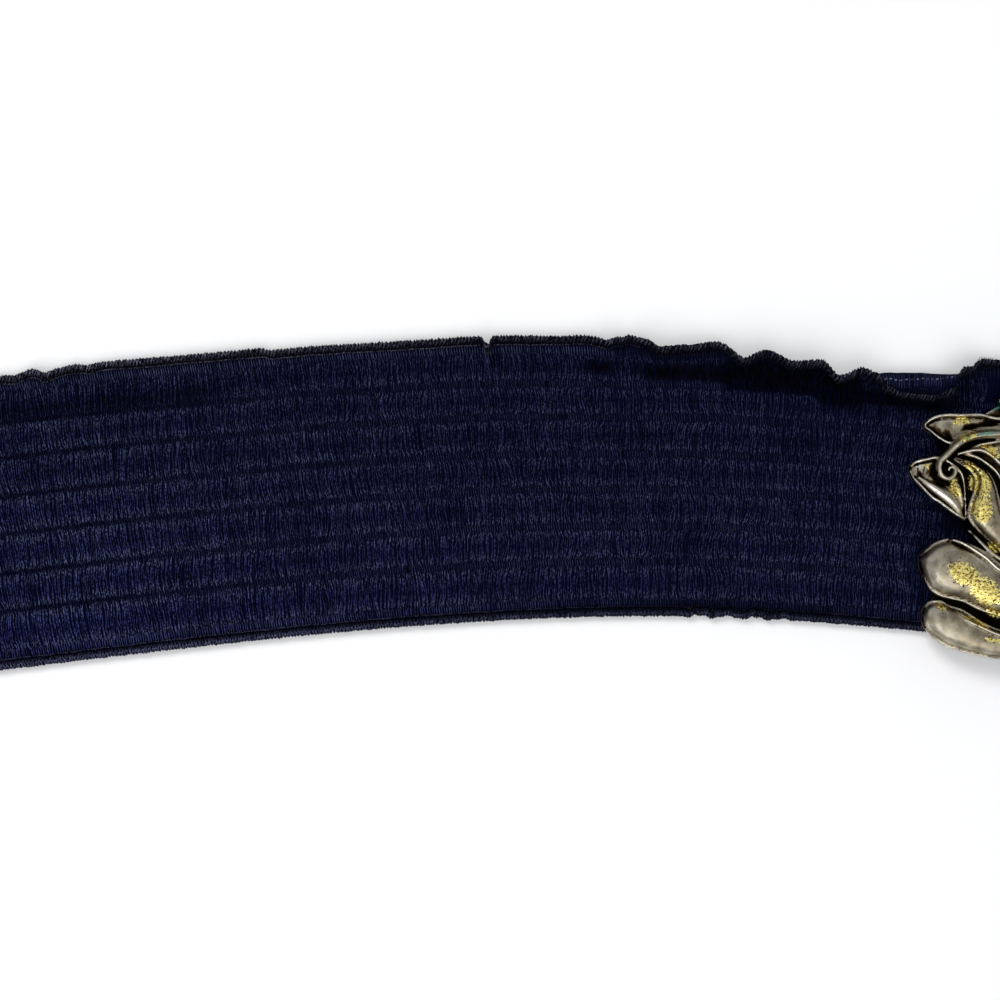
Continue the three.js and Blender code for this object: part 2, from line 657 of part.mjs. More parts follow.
// A rivet cast with the back: a stem through the plate and a spread head below it.
function rivet(y) {
  const plateBottom = CASTING_BACK - CLEARANCE - PLATE_THICKNESS;
  const headTop = plateBottom - CLEARANCE;
  const stem = uprightCylinder(-RIVET_FROM_SEAM, y, headTop - 0.1, CASTING_BACK + 0.5, RIVET_DIAMETER);
  const head = uprightCylinder(-RIVET_FROM_SEAM, y, headTop - RIVET_HEAD_HEIGHT, headTop, RIVET_HEAD);
  return stem.add(head);
}

function casting(rivetSpacing) {
  let solid = webSolid();
  Object.values(LEAVES).forEach((leaf) => {
    solid = solid.add(leafSolid(leaf));
  });
  const beyondSeam = boxBetween([-SEAM_GAP, -60, -5], [20, 60, 30]);
  solid = solid.subtract(beyondSeam);
  [-1, 1].forEach((side) => {
    solid = solid.add(barEar(side)).add(rivet((side * rivetSpacing) / 2));
  });
  return geometryFrom(solid);
}

function bar() {
  const cylinder = new THREE.CylinderGeometry(BAR_DIAMETER / 2, BAR_DIAMETER / 2, BAR_LENGTH, 12);
  cylinder.translate(-BAR_FROM_SEAM, 0, FLAT_THICKNESS + CLEARANCE + BAR_DIAMETER / 2);
  return cylinder;
}

// The stamped plates

function plateFromProfile(outline, width) {
  const shape = new THREE.Shape(outline.map(([x, z]) => new THREE.Vector2(x, z)));
  const plate = new THREE.ExtrudeGeometry(shape, { depth: width, bevelEnabled: false });
  plate.rotateX(Math.PI / 2);
  plate.translate(0, width / 2, 0);
  return solidFrom(plate);
}

// The hook: a root riveted behind the casting, a step down, a tongue and a lip that turns down at its tip.
function hookPlate() {
  const t = PLATE_THICKNESS;
  const top = CASTING_BACK - CLEARANCE;
  const tongueTop = TONGUE_BOTTOM + t;
  const outline = [
    [-HOOK_ROOT, top - t], [-3.2, top - t], [-1.0, TONGUE_BOTTOM], [HOOK_REACH - t - 0.4, TONGUE_BOTTOM],
    [HOOK_REACH - t, TONGUE_BOTTOM - 0.4], [HOOK_REACH - t, 0], [HOOK_REACH, 0],
    [HOOK_REACH, TONGUE_BOTTOM + t * 0.4], [HOOK_REACH - 0.7, tongueTop], [-0.2, tongueTop],
    [-2.6, top], [-HOOK_ROOT, top],
  ];
  let solid = plateFromProfile(outline, HOOK_WIDTH);
  [-1, 1].forEach((side) => {
    solid = solid.subtract(rivetHole((side * HOOK_RIVET_SPACING) / 2));
  });
  return geometryFrom(solid);
}

function rivetHole(y) {
  return uprightCylinder(-RIVET_FROM_SEAM, y, 0, CASTING_BACK, RIVET_DIAMETER + 2 * CLEARANCE);
}

// The keeper: two riveted feet and a low bridge with the slot that the hook's lip drops into.
function catchPlate() {
  const t = PLATE_THICKNESS;
  const top = CASTING_BACK - CLEARANCE;
  const foot = KEEPER_WIDTH / 2;
  const wall = KEEPER_BRIDGE / 2;
  const half = [[wall, 0], [wall, top - t], [foot, top - t], [foot, top], [wall - t, top], [wall - t, t]];
  const otherHalf = half.map(([y, z]) => [-y, z]).reverse();
  const shape = new THREE.Shape([...half, ...otherHalf].map(([y, z]) => new THREE.Vector2(y, z)));
  const plate = new THREE.ExtrudeGeometry(shape, { depth: KEEPER_DEPTH, bevelEnabled: false });
  plate.rotateX(Math.PI / 2);
  plate.rotateZ(Math.PI / 2);
  plate.translate(-KEEPER_NEAR - KEEPER_DEPTH, 0, 0);
  let solid = solidFrom(plate);
  solid = solid.subtract(
    boxBetween([-SLOT_FAR, -SLOT_WIDTH / 2, -1], [-SLOT_NEAR, SLOT_WIDTH / 2, t + 0.5]),
  );
  [-1, 1].forEach((side) => {
    solid = solid.subtract(rivetHole((side * KEEPER_RIVET_SPACING) / 2));
  });
  return geometryFrom(solid);
}

// Mirrors a clasp piece across its seam, for the other half.
function mirrored(geometry) {
  const copy = geometry.clone().scale(-1, 1, 1);
  if (!copy.index) copy.setIndex([...Array(copy.attributes.position.count).keys()]);
  return turnedOut(copy);
}

// Assembly

const materials = {
  elastic: new THREE.MeshStandardMaterial({ color: 0x101536, roughness: 0.85, metalness: 0 }),
  cord: new THREE.MeshStandardMaterial({ color: 0x0b0d1c, roughness: 0.8, metalness: 0 }),
  casting: new THREE.MeshStandardMaterial({ color: 0xa9a184, roughness: 0.32, metalness: 0.95 }),
  steel: new THREE.MeshStandardMaterial({ color: 0xb5b5b0, roughness: 0.35, metalness: 1 }),
};

function named(name, geometry, material) {
  const mesh = new THREE.Mesh(geometry, material);
  mesh.name = name;
  return mesh;
}

// A clasp half stands at the end of the belt, turned as the lower edge is there.
function claspHalf(station, pieces) {
  const half = new THREE.Group();
  const heading = headingAt(station);
  const foot = lowerEdgeAt(station);
  half.position.set(
    foot.x - Math.sin(heading) * CLASP_HEIGHT,
    foot.y + Math.cos(heading) * CLASP_HEIGHT,
    0,
  );
  half.rotation.z = heading;
  half.add(...pieces);
  return half;
}

const belt = new THREE.Group();
belt.add(
  named("elastic_band", elasticBand(), materials.elastic),
  named("upper_edge_cord", edgeCord("upper"), materials.cord),
  named("lower_edge_cord", edgeCord("lower"), materials.cord),
  claspHalf(0, [
    named("hook_casting", casting(HOOK_RIVET_SPACING), materials.casting),
    named("hook_side_bar", bar(), materials.steel),
    named("hook_plate", hookPlate(), materials.steel),
  ]),
  claspHalf(BELT_LENGTH, [
    named("catch_casting", mirrored(casting(KEEPER_RIVET_SPACING)), materials.casting),
    named("catch_side_bar", mirrored(bar()), materials.steel),
    named("catch_plate", mirrored(catchPlate()), materials.steel),
  ]),
);

export default belt;
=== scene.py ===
# %% [markdown]
# # A stretch-elastic cinch belt with a cast clasp
# The belt lies open and face up on a white table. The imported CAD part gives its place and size, and this
# lesson dresses it: cloth, thousands of threads, two overlocked edges, and a cast clasp half at each end.
# Everything here is worked out in millimetres and turned to metres once, when a mesh is made.

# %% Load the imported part
import math

import bmesh
import bpy
import numpy as np
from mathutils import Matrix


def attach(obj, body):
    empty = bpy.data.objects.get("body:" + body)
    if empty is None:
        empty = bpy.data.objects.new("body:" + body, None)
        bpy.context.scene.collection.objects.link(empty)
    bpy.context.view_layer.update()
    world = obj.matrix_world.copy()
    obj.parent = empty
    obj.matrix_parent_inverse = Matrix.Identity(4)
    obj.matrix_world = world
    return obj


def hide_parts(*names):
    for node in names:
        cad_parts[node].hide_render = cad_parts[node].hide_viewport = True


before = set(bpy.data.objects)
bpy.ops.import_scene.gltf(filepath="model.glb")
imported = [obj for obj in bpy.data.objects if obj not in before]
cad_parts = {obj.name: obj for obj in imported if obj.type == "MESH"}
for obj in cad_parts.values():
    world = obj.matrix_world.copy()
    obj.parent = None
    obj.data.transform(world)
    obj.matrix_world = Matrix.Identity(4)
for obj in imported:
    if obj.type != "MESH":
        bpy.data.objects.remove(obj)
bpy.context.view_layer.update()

MM = 0.001
BODY = "root"
print("CAD nodes:", ", ".join(sorted(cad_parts)))

# %% [markdown]
# ## Where the belt lies
# A laid belt is easiest to model in its own coordinates: how far along it a point is, how far across the
# elastic, and how high above its underside. One function then turns those into a place on the table. It
# could be done with a curve and its modifiers, but a function in numpy places every thread, rib and
# stitch the same way.

# %% Sizes of the belt, in millimetres
BELT_LENGTH = 668.0  # seam to seam, along the lower edge
BAND_WIDTH = 76.0  # over both edge cords
MIDDLE = (-2.49, -20.5)  # the middle of the lower edge
ROW_HEIGHTS = np.array([3.9, 14.8, 24.4, 34.3, 43.9, 53.8, 62.6, 71.9])  # stitched rows above the lower edge
ROW_THICKNESS = 1.05
PUFF_THICKNESS = 1.95
FLAT_THICKNESS = 1.2
CORD_DIAMETER = 2.6
CORD_GAP = 0.4
BAR_FROM_SEAM = 20.0
BAR_DIAMETER = 2.6
TAIL_LENGTH = 16.0
CLEARANCE = 0.3

# Direction of the lower edge in degrees, by distance from the nearer seam
ARCH = {
    "from_seam": [0, 40, 54, 80, 119, 158, 210, 250, 334],
    "heading": [-11.9, -12.4, -13.1, -11.2, -7.1, -4.2, -1.7, -0.8, 0],
}
# The elastic is narrower where the clasp holds it.
NARROWING = {
    "from_seam": [0, 70, 119, 163, 210, 270, 334],
    "width": [0.949, 0.949, 0.959, 0.983, 0.997, 1.013, 1.017],
}
# The frilled upper edge: how steeply it lifts and how far it rolls over, in degrees
HOOK_RUFFLES = {
    "from_seam": [
        33, 37, 40, 45.5, 50.5, 58, 62.5, 65, 68, 74,
        77.5, 84, 90, 95.5, 101.5, 108.5, 115, 121.5, 125.5, 131,
        153.4, 155, 156.6, 205, 260.5, 264.6, 268.6, 334,
    ],
    "lift": [
        0, 1, 8, 10, 8, 8, 12, 22, 28, 45,
        26, 26, 14, 27, 8, 11, 16, 4, 8, 3,
        3, 15, 3, 3, 2, 3, 2, 1,
    ],
    "curl": [
        0, 8, 62, 126, 152, 152, 130, 84, 54, 58,
        51, 55, 43, 54, 20, 36, 44, 12, 34, 14,
        11, 50, 11, 9, 6, 26, 8, 6,
    ],
}
CATCH_RUFFLES = {
    "from_seam": [33, 42, 51, 60, 70, 80, 90, 100, 112, 140, 148, 156, 334],
    "lift": [0, 2, 20, 34, 20, 26, 12, 16, 6, 3, 10, 3, 1],
    "curl": [0, 14, 60, 70, 46, 64, 30, 52, 18, 10, 44, 9, 6],
}
# Near the hook the edge is folded right over. There is more cloth above the top row: its length.
FOLD = {"from_seam": [38, 45, 60, 67], "extra": [0, 4.6, 4.6, 0]}
# Small ups and downs of the trimmed edge: more or less cloth above the top row
TRIM = {
    "from_seam": [
        52.5, 56, 60, 63, 65.4, 68.1, 71.9, 75.9, 78.2, 86.4, 93.4, 95.8, 107.5, 114.5, 116.8, 119.6, 121.5,
        122.7, 124.8, 127.4, 133.9, 137.9, 197.3, 207.7, 209.7, 249.9, 253.4, 256.8, 263.8, 265.3, 265.8,
        268.8, 270.3, 272.8, 275.7, 334,
    ],
    "extra": [
        0, -0.6, -1.4, -0.8, 0.6, -0.5, -0.9, -0.2, 0.5, -0.4, 0.4, -0.3, -0.4, 0, 1.1, 0.4, 0.7,
        0.2, 1.2, 0.2, 0.4, 0, -0.6, -0.8, 0, 0, -0.5, 0, -0.8, -0.8, -0.1,
        0, -0.6, -1.1, -0.7, -0.7,
    ],
}
LIFT_BEND = 4.0  # length of elastic that bends up from the seventh row
CURL_BEND = 4.9  # length that rolls over
CURL_FLAT = 1.4  # flat strip between the roll and the cord
print("elastic", BAND_WIDTH, "mm wide and", BELT_LENGTH, "mm long from seam to seam")


# %% Reading the tables
def eased(table, at, column):
    """Values of a column at many places, level at each row of the table."""
    keys = np.array(table["from_seam"], float)
    values = np.array(table[column], float)
    row = np.clip(np.searchsorted(keys, at, side="right") - 1, 0, len(keys) - 2)
    t = np.clip((at - keys[row]) / (keys[row + 1] - keys[row]), 0, 1)
    return values[row] + (values[row + 1] - values[row]) * t * t * (3 - 2 * t)


def to_seam(station):
    """Distance from the nearer seam of a place measured from the hook's seam."""
    return np.minimum(station, BELT_LENGTH - station)


STATION_STEP = 0.5
STATIONS = np.arange(0, BELT_LENGTH + STATION_STEP, STATION_STEP)
NEAR_HOOK = STATIONS <= BELT_LENGTH / 2
HEADING = np.radians(np.interp(to_seam(STATIONS), ARCH["from_seam"], ARCH["heading"]))
HEADING = np.where(NEAR_HOOK, HEADING, -HEADING)
print("the belt's ends turn down by", round(-math.degrees(HEADING[0]), 1), "degrees")


# %% The lower edge as a line on the table
def walked(component):
    """Runs along the lower edge and adds up one component of its direction, from the belt's middle."""
    between = (component[1:] + component[:-1]) / 2 * STATION_STEP
    total = np.concatenate([[0], np.cumsum(between)])
    return total - np.interp(BELT_LENGTH / 2, STATIONS, total)


EDGE_X = MIDDLE[0] - walked(np.cos(HEADING))
EDGE_Y = MIDDLE[1] - walked(np.sin(HEADING))
print("seam of the hook half at", EDGE_X[0].round(1), EDGE_Y[0].round(1), "mm")

# %% [markdown]
# ## The elastic's cross-section
# Across the belt the underside starts flat on the table, then the top channel lifts and its edge rolls
# over. The slope is known at each place, so adding up its cosine and sine gives the shape. That is done
# once for a grid of places, and later reads between the grid's values. A simulation could make such
# frills, but the real ones are known from what the eye sees, so a table of lift and curl is truer.

# %% The underside over a grid of places
SCALE = eased(NARROWING, to_seam(STATIONS), "width")
EXTRA = eased(FOLD, STATIONS, "extra") + eased(TRIM, STATIONS, "extra")
EXTRA = np.where(NEAR_HOOK, EXTRA, 0)
WIDTH = BAND_WIDTH * SCALE + EXTRA


def ruffled(column):
    """The lift or the curl along the belt, in radians, from the table of each half."""
    hook, catch = [eased(table, to_seam(STATIONS), column) for table in (HOOK_RUFFLES, CATCH_RUFFLES)]
    return np.radians(np.where(NEAR_HOOK, hook, catch))


LIFT = ruffled("lift")
CURL = ruffled("curl")
CURL_START = WIDTH - CORD_DIAMETER - CORD_GAP - CURL_FLAT - CURL_BEND - EXTRA / 2
ACROSS_STEPS = 320
ACROSS = np.linspace(0, 1, ACROSS_STEPS + 1)[None, :] * WIDTH[:, None]
LIFTED = np.clip((ACROSS - (ROW_HEIGHTS[6] * SCALE)[:, None]) / LIFT_BEND, 0, 1)
CURLED = np.clip((ACROSS - CURL_START[:, None]) / CURL_BEND, 0, 1)
SLOPE = LIFT[:, None] * LIFTED + CURL[:, None] * CURLED


def summed(component):
    """Runs across the elastic and adds up one component of its slope, from the lower edge."""
    between = (component[:, 1:] + component[:, :-1]) / 2 * np.diff(ACROSS, axis=1)
    return np.concatenate([np.zeros((len(component), 1)), np.cumsum(between, axis=1)], axis=1)


UNDER_Y = summed(np.cos(SLOPE))
UNDER_Z = summed(np.sin(SLOPE))
print("the roll stands", UNDER_Z.max().round(1), "mm up at its highest")


# %% Reading between the grid's values
def from_grid(grid, station, u):
    """The grid's value at a place along the belt and a distance u across it."""
    station, u = np.broadcast_arrays(np.asarray(station, float), np.asarray(u, float))
    a = np.clip(station / STATION_STEP, 0, len(STATIONS) - 1.001)
    b = np.clip(u / np.interp(station, STATIONS, WIDTH) * ACROSS_STEPS, 0, ACROSS_STEPS - 0.001)
    i, j = a.astype(int), b.astype(int)
    p, q = a - i, b - j
    near = grid[i, j] * (1 - q) + grid[i, j + 1] * q
    far = grid[i + 1, j] * (1 - q) + grid[i + 1, j + 1] * q
    return near * (1 - p) + far * p


# %% How high the front of the elastic lies
# It is flat on the table, climbs over its own sewn tail and rises to the bar behind the clasp.
TAIL_END = BAR_FROM_SEAM + TAIL_LENGTH
CLIMB = {
    "from_seam": [BAR_FROM_SEAM, TAIL_END - 5, TAIL_END + 1, TAIL_END + 9],
    "height": [
        FLAT_THICKNESS + BAR_DIAMETER + 2 * CLEARANCE,
        FLAT_THICKNESS + CLEARANCE,
        FLAT_THICKNESS + CLEARANCE,
        0,
    ],
}


def front_height(station):
    """How high the underside of the front lies over the table."""
    return eased(CLIMB, to_seam(station), "height")


def front_pitch(station):
    """How steeply the front climbs towards the hook's end, in radians, over one millimetre."""
    seam = to_seam(station)
    climb = eased(CLIMB, seam - 0.5, "height") - eased(CLIMB, seam + 0.5, "height")
    return np.arctan(np.where(station <= BELT_LENGTH / 2, climb, -climb))


print("the front rises to", CLIMB["height"][0], "mm at the bar")


# %% From belt coordinates to the table
def in_frame(station, height, pitch, y, z):
    """A point y across and z above the lower edge, at a place where the belt has that height and pitch."""
    heading = np.interp(station, STATIONS, HEADING)
    x0 = np.interp(station, STATIONS, EDGE_X)
    y0 = np.interp(station, STATIONS, EDGE_Y)
    lean = np.sin(pitch) * z
    points = [
        x0 - np.sin(heading) * y - np.cos(heading) * lean,
        y0 + np.cos(heading) * y - np.sin(heading) * lean,
        height + np.cos(pitch) * z,
    ]
    return np.stack(np.broadcast_arrays(*points), axis=-1)


# The lower hem has a few small waves near the clasp, where it was pulled.
HEM_WAVE_FROM, HEM_WAVE_TO = 78.0, 112.0
HEM_WAVE_FADE = 6.0  # length over which the waves begin and end
HEM_WAVE_LENGTH = 7.3
HEM_RIPPLE_LENGTH = 2.9  # of the ripples that are half as high
HEM_WAVE_HEIGHT = 0.35
HEM_WAVE_REACH = 9.0  # across the belt, where the waves have died out


def hem_wave(station, u):
    """How far the waves move a place up the belt."""
    begun = np.clip((station - HEM_WAVE_FROM) / HEM_WAVE_FADE, 0, 1)
    inside = begun * np.clip((HEM_WAVE_TO - station) / HEM_WAVE_FADE, 0, 1)
    ripple = 0.5 * np.sin(2 * np.pi * station / HEM_RIPPLE_LENGTH)
    wave = np.sin(2 * np.pi * station / HEM_WAVE_LENGTH) + ripple
    return HEM_WAVE_HEIGHT * inside * wave * np.clip(1 - u / HEM_WAVE_REACH, 0, 1)


def on_band(station, u, above):
    """Places on the elastic's front, above its underside, in millimetres."""
    slope = from_grid(SLOPE, station, u)
    y = from_grid(UNDER_Y, station, u) - np.sin(slope) * above + hem_wave(station, u)
    z = from_grid(UNDER_Z, station, u) + np.cos(slope) * above
    return in_frame(station, front_height(station), front_pitch(station), y, z)


print("a point in the middle of the belt:", on_band(334.0, 38.0, 1.9).round(2))

# %% [markdown]
# ## The channels
# Eight rows of stitches hold the two faces of the elastic together, and the stuffing between them swells
# up in seven channels. Each channel is a soft arch from row to row. It varies a little along the belt,
# because the elastic was stretched by hand while it was sewn, so smooth chance is added to its height.

# %% Smooth chance
chance = np.random.default_rng(20)


def drift(at, spacing):
    """Smooth random values between -1 and 1 that change over about the given length."""
    knots = chance.uniform(-1, 1, int(BELT_LENGTH / spacing) + 4)
    place = np.asarray(at, float) / spacing
    i = np.clip(place.astype(int), 0, len(knots) - 2)
    t = place - i
    return knots[i] + (knots[i + 1] - knots[i]) * t * t * (3 - 2 * t)


def drifts(at, waves, start=0.0):
    """Adds several drifts to a start. waves pairs how strong each one is with its spacing."""
    return sum((strength * drift(at, spacing) for strength, spacing in waves), start)


CHANNELS = len(ROW_HEIGHTS) - 1
SWELL_DRIFTS = ((0.12, 23), (0.10, 7))  # part of a channel's height, and over which length it changes
SWELL = np.stack([drifts(STATIONS, SWELL_DRIFTS, 1.0) for _ in range(CHANNELS)])
print(CHANNELS, "channels swell by", SWELL.min().round(2), "to", SWELL.max().round(2), "of their height")

# %% Thickness of the elastic
PRESSED_UNTIL, PUFFED_FROM = 24.0, 38.0  # from the seam, where the casting presses the elastic flat
SQUEEZED_AT = 1.2  # roll, in radians, that squeezes its channel flat
ARCH_POWER = 0.62  # below 1, it makes a channel fuller than a plain arch


def channel_part(station, u):
    """Which channel a place is in, and how far through it, from 0 at its lower row to 1."""
    rows = u / np.interp(station, STATIONS, SCALE)
    channel = np.clip(np.searchsorted(ROW_HEIGHTS, rows, side="right") - 1, 0, CHANNELS - 1)
    part = (rows - ROW_HEIGHTS[channel]) / (ROW_HEIGHTS[channel + 1] - ROW_HEIGHTS[channel])
    return channel, np.clip(part, 0, 1)


def thickness(station, u):
    """Height of the elastic's face above its underside."""
    station, u = np.broadcast_arrays(np.asarray(station, float), np.asarray(u, float))
    channel, part = channel_part(station, u)
    arch = np.sin(np.pi * part) ** ARCH_POWER
    i = np.clip((station / STATION_STEP).astype(int), 0, len(STATIONS) - 1)
    arch = arch * SWELL[channel, i]
    rolled = np.clip(np.interp(station, STATIONS, CURL) / SQUEEZED_AT, 0, 1)
    arch = np.where(channel == CHANNELS - 1, arch * (1 - rolled), arch)
    puffed = np.clip((to_seam(station) - PRESSED_UNTIL) / (PUFFED_FROM - PRESSED_UNTIL), 0, 1)
    row = FLAT_THICKNESS + (ROW_THICKNESS - FLAT_THICKNESS) * puffed
    return row + (PUFF_THICKNESS - ROW_THICKNESS) * arch * puffed


print("mid-channel thickness", thickness(334.0, 39.1).round(2), "mm")


# %% Making a mesh from arrays
def linked(name, data):
    """A new object of a mesh, a lamp or a camera, in the scene."""
    made = bpy.data.objects.new(name, data)
    bpy.context.scene.collection.objects.link(made)
    return made


def new_object(name, points, quads, triangles, material):
    """A smooth-shaded mesh from points in millimetres and corner numbers of its faces."""
    mesh = bpy.data.meshes.new(name)
    corners = np.concatenate([np.ravel(quads), np.ravel(triangles)]).astype(np.int32)
    sizes = np.concatenate([np.full(len(quads), 4), np.full(len(triangles), 3)])
    starts = np.concatenate([[0], np.cumsum(sizes)[:-1]]).astype(np.int32)
    mesh.vertices.add(len(points))
    mesh.vertices.foreach_set("co", (np.asarray(points) * MM).astype(np.float32).ravel())
    mesh.loops.add(len(corners))
    mesh.loops.foreach_set("vertex_index", corners)
    mesh.polygons.add(len(sizes))
    mesh.polygons.foreach_set("loop_start", starts)
    mesh.update(calc_edges=True)
    mesh.shade_smooth()
    mesh.materials.append(material)
    print(name, "has", int((sizes - 2).sum()), "triangles")
    return linked(name, mesh)


def set_values(made, name, values):
    """Stores one number per point, for the material to read."""
    layer = made.data.attributes.new(name, "FLOAT", "POINT")
    layer.data.foreach_set("value", np.asarray(values, np.float32).ravel())


# %% Many tubes at once
def tube_faces(count, rings, sides):
    """Corner numbers of many closed tubes whose points are stored tube by tube and ring by ring."""
    ring = np.arange(sides)
    after = (ring + 1) % sides
    first = np.arange(rings - 1)[:, None] * sides
    one = np.stack([first + ring, first + after, first + sides + after, first + sides + ring], axis=-1)
    shift = np.arange(count)[:, None] * rings * sides
    quads = (one.reshape(1, -1) + shift).reshape(-1, 4)
    fan = np.stack([np.zeros(sides - 2, int), np.arange(2, sides), np.arange(1, sides - 1)], axis=-1)
    caps = np.concatenate([fan, fan[:, ::-1] + (rings - 1) * sides])
    triangles = (caps.reshape(1, -1) + shift).reshape(-1, 3)
    return quads, triangles


thread_quads, thread_ends = tube_faces(1, 7, 3)
print("one thread of 7 rings has", len(thread_quads) * 2 + len(thread_ends), "triangles")

# %% [markdown]
# ## Colours and nodes
# Every colour is picked as an sRGB hex value, as a screen shows it, and the renderer wants linear light.
# One function converts them. A second small function adds a node, with its settings and links in one
# call, which keeps each material short enough to read like a recipe.

# %% Colours and nodes
def linear(colour):
    """An sRGB hex value as linear light, with full alpha."""
    parts = [int(colour[i : i + 2], 16) / 255 for i in (1, 3, 5)]
    return [p / 12.92 if p <= 0.04045 else ((p + 0.055) / 1.055) ** 2.4 for p in parts] + [1.0]


def add_node(tree, kind, inputs=(), **settings):
    """Adds a node. inputs pairs a socket's name or number with a value or with the socket that feeds it."""
    node = tree.nodes.new(kind)
    for name, value in settings.items():
        setattr(node, name, value)
    for socket, value in dict(inputs).items():
        if isinstance(value, bpy.types.NodeSocket):
            tree.links.new(value, node.inputs[socket])
        else:
            node.inputs[socket].default_value = value
    return node


def new_material(name, **sockets):
    """An empty material with its surface shader, whose constant sockets are set here."""
    material = bpy.data.materials.new(name)
    material.use_nodes = True
    tree = material.node_tree
    shader = tree.nodes["Principled BSDF"]
    for socket, value in sockets.items():
        shader.inputs[socket.replace("_", " ")].default_value = value
    return material, tree, shader


print("navy #14183a in linear light:", [round(c, 4) for c in linear("#14183a")])

# %% [markdown]
# ## The cloth under the threads
# Under the floats is a knitted backing of textured polyester over rubber, almost black. Only its ribs
# show, between the threads and on the back, so it is a plain surface with ribs drawn as bump. They follow
# the belt, because the mesh stores how far along it each point is, and the pattern is worked out from
# that.

# %% Finish of the backing: dull knitted polyester over covered rubber
RIB_PITCH = 0.62  # of the covered rubber threads, in millimetres
backing, tree, shader = new_material("knitted_backing", Roughness=0.9)
shader.inputs["Specular IOR Level"].default_value = 0.03
along = add_node(tree, "ShaderNodeAttribute", attribute_name="along_mm")
phase = add_node(
    tree, "ShaderNodeMath", {0: along.outputs["Fac"], 1: 2 * math.pi / RIB_PITCH}, operation="MULTIPLY"
)
ribs = add_node(tree, "ShaderNodeMath", {0: phase.outputs[0]}, operation="SINE")
rib_height = add_node(
    tree, "ShaderNodeMapRange", {"Value": ribs.outputs[0], "From Min": -1.0, "From Max": 1.0}
)
bump = add_node(
    tree,
    "ShaderNodeBump",
    {"Height": rib_height.outputs[0], "Distance": 0.15 * MM, "Strength": 0.7},
)
colour = add_node(
    tree,
    "ShaderNodeMix",
    {"Factor": rib_height.outputs[0], "A": linear("#020414"), "B": linear("#070a24")},
    data_type="RGBA",
)
tree.links.new(colour.outputs["Result"], shader.inputs["Base Color"])
tree.links.new(bump.outputs["Normal"], shader.inputs["Normal"])
print("backing ribs every", RIB_PITCH, "mm")

# %% [markdown]
# ## The elastic itself
# The cloth is one closed skin: a puffed face, a plain back, and at each end a turn round the bar and a
# sewn tail. It could be a flat sheet with a Solidify modifier, but the channels make the thickness differ
# across it, so rings of points are joined along the belt. The rings stand closer where the elastic turns.

# %% Rings of the cloth
THREAD_SINK = 0.28  # the cloth's face lies this much below the threads' crowns
CLOTH_STEP = 1.5
POINTS_PER_CHANNEL = 6
TOP_POINTS = 14
BACK_POINTS = 16
HEM_START = 2.2  # from the edge, where the cloth goes into the overlocked edge


def cloth_across(station):
    """Distances across the belt of one ring's points: the face from low to high, then the back."""
    scale = np.interp(station, STATIONS, SCALE)
    width = np.interp(station, STATIONS, WIDTH)
    pairs = zip(ROW_HEIGHTS[:-2] * scale, ROW_HEIGHTS[1:-1] * scale)
    steps = [np.linspace(a, b, POINTS_PER_CHANNEL, endpoint=False) for a, b in pairs]
    top = np.linspace(ROW_HEIGHTS[-2] * scale, width - HEM_START, TOP_POINTS)
    face = np.concatenate([[HEM_START], *steps, top])
    curl_start = np.interp(station, STATIONS, CURL_START)
    calm = np.linspace(HEM_START, curl_start, BACK_POINTS // 2, endpoint=False)
    rolled = np.linspace(curl_start, width - HEM_START, BACK_POINTS - BACK_POINTS // 2)
    return face, np.concatenate([calm, rolled])[::-1]


def front_ring(station):
    """A ring where the elastic lies face up."""
    face, back = cloth_across(station)
    top = thickness(station, face) - THREAD_SINK * (face > HEM_START) * (face < face.max())
    return np.concatenate([on_band(station, face, top), on_band(station, back, 0.0)])


def turned_ring(station, height, pitch):
    """A ring where the elastic is folded back and lies flat."""
    face, back = cloth_across(station)
    places = ((face, FLAT_THICKNESS), (back, 0.0))
    return np.concatenate([in_frame(station, height, pitch, y, z) for y, z in places])


TURN_STEPS = 10
TAIL_STEPS = 4
INNER_RADIUS = BAR_DIAMETER / 2 + CLEARANCE


def folded_end(side):
    """Rings from the top of the bar round it and along the tail. side is 1 at the hook's end."""
    places = []
    for angle in np.linspace(0, math.pi, TURN_STEPS + 1)[1:]:
        seam = BAR_FROM_SEAM - INNER_RADIUS * math.sin(angle)
        places.append((seam, FLAT_THICKNESS + INNER_RADIUS + INNER_RADIUS * math.cos(angle), angle))
    for seam in np.linspace(BAR_FROM_SEAM, TAIL_END, TAIL_STEPS + 1)[1:]:
        places.append((seam, FLAT_THICKNESS, math.pi))
    return [
        turned_ring(seam if side > 0 else BELT_LENGTH - seam, height, -angle * side)
        for seam, height, angle in places
    ]


front_stations = np.arange(BAR_FROM_SEAM, BELT_LENGTH - BAR_FROM_SEAM + CLOTH_STEP / 2, CLOTH_STEP)
front_stations[-1] = BELT_LENGTH - BAR_FROM_SEAM
cloth_rings = [*folded_end(1)[::-1], *[front_ring(s) for s in front_stations], *folded_end(-1)]
print(len(cloth_rings), "rings of", len(cloth_rings[0]), "points")


# %% Joining the rings
def lofted(rings):
    """Points and faces of a closed skin over rings of equally many points."""
    count = len(rings[0])
    j = np.arange(count)
    k = (j + 1) % count
    i = np.arange(len(rings) - 1)[:, None] * count
    quads = np.stack([i + j, i + count + j, i + count + k, i + k], axis=-1).reshape(-1, 4)
    return np.concatenate(rings), quads


def capped(name, rings, material):
    """A closed skin whose two ends are filled with flat faces."""
    points, quads = lofted(rings)
    made = new_object(name, points, quads, np.zeros((0, 3), int), material)
    shape = bmesh.new()
    shape.from_mesh(made.data)
    ends = [e for e in shape.edges if e.is_boundary]
    bmesh.ops.holes_fill(shape, edges=ends, sides=0)
    bmesh.ops.recalc_face_normals(shape, faces=shape.faces)
    shape.to_mesh(made.data)
    shape.free()
    return made


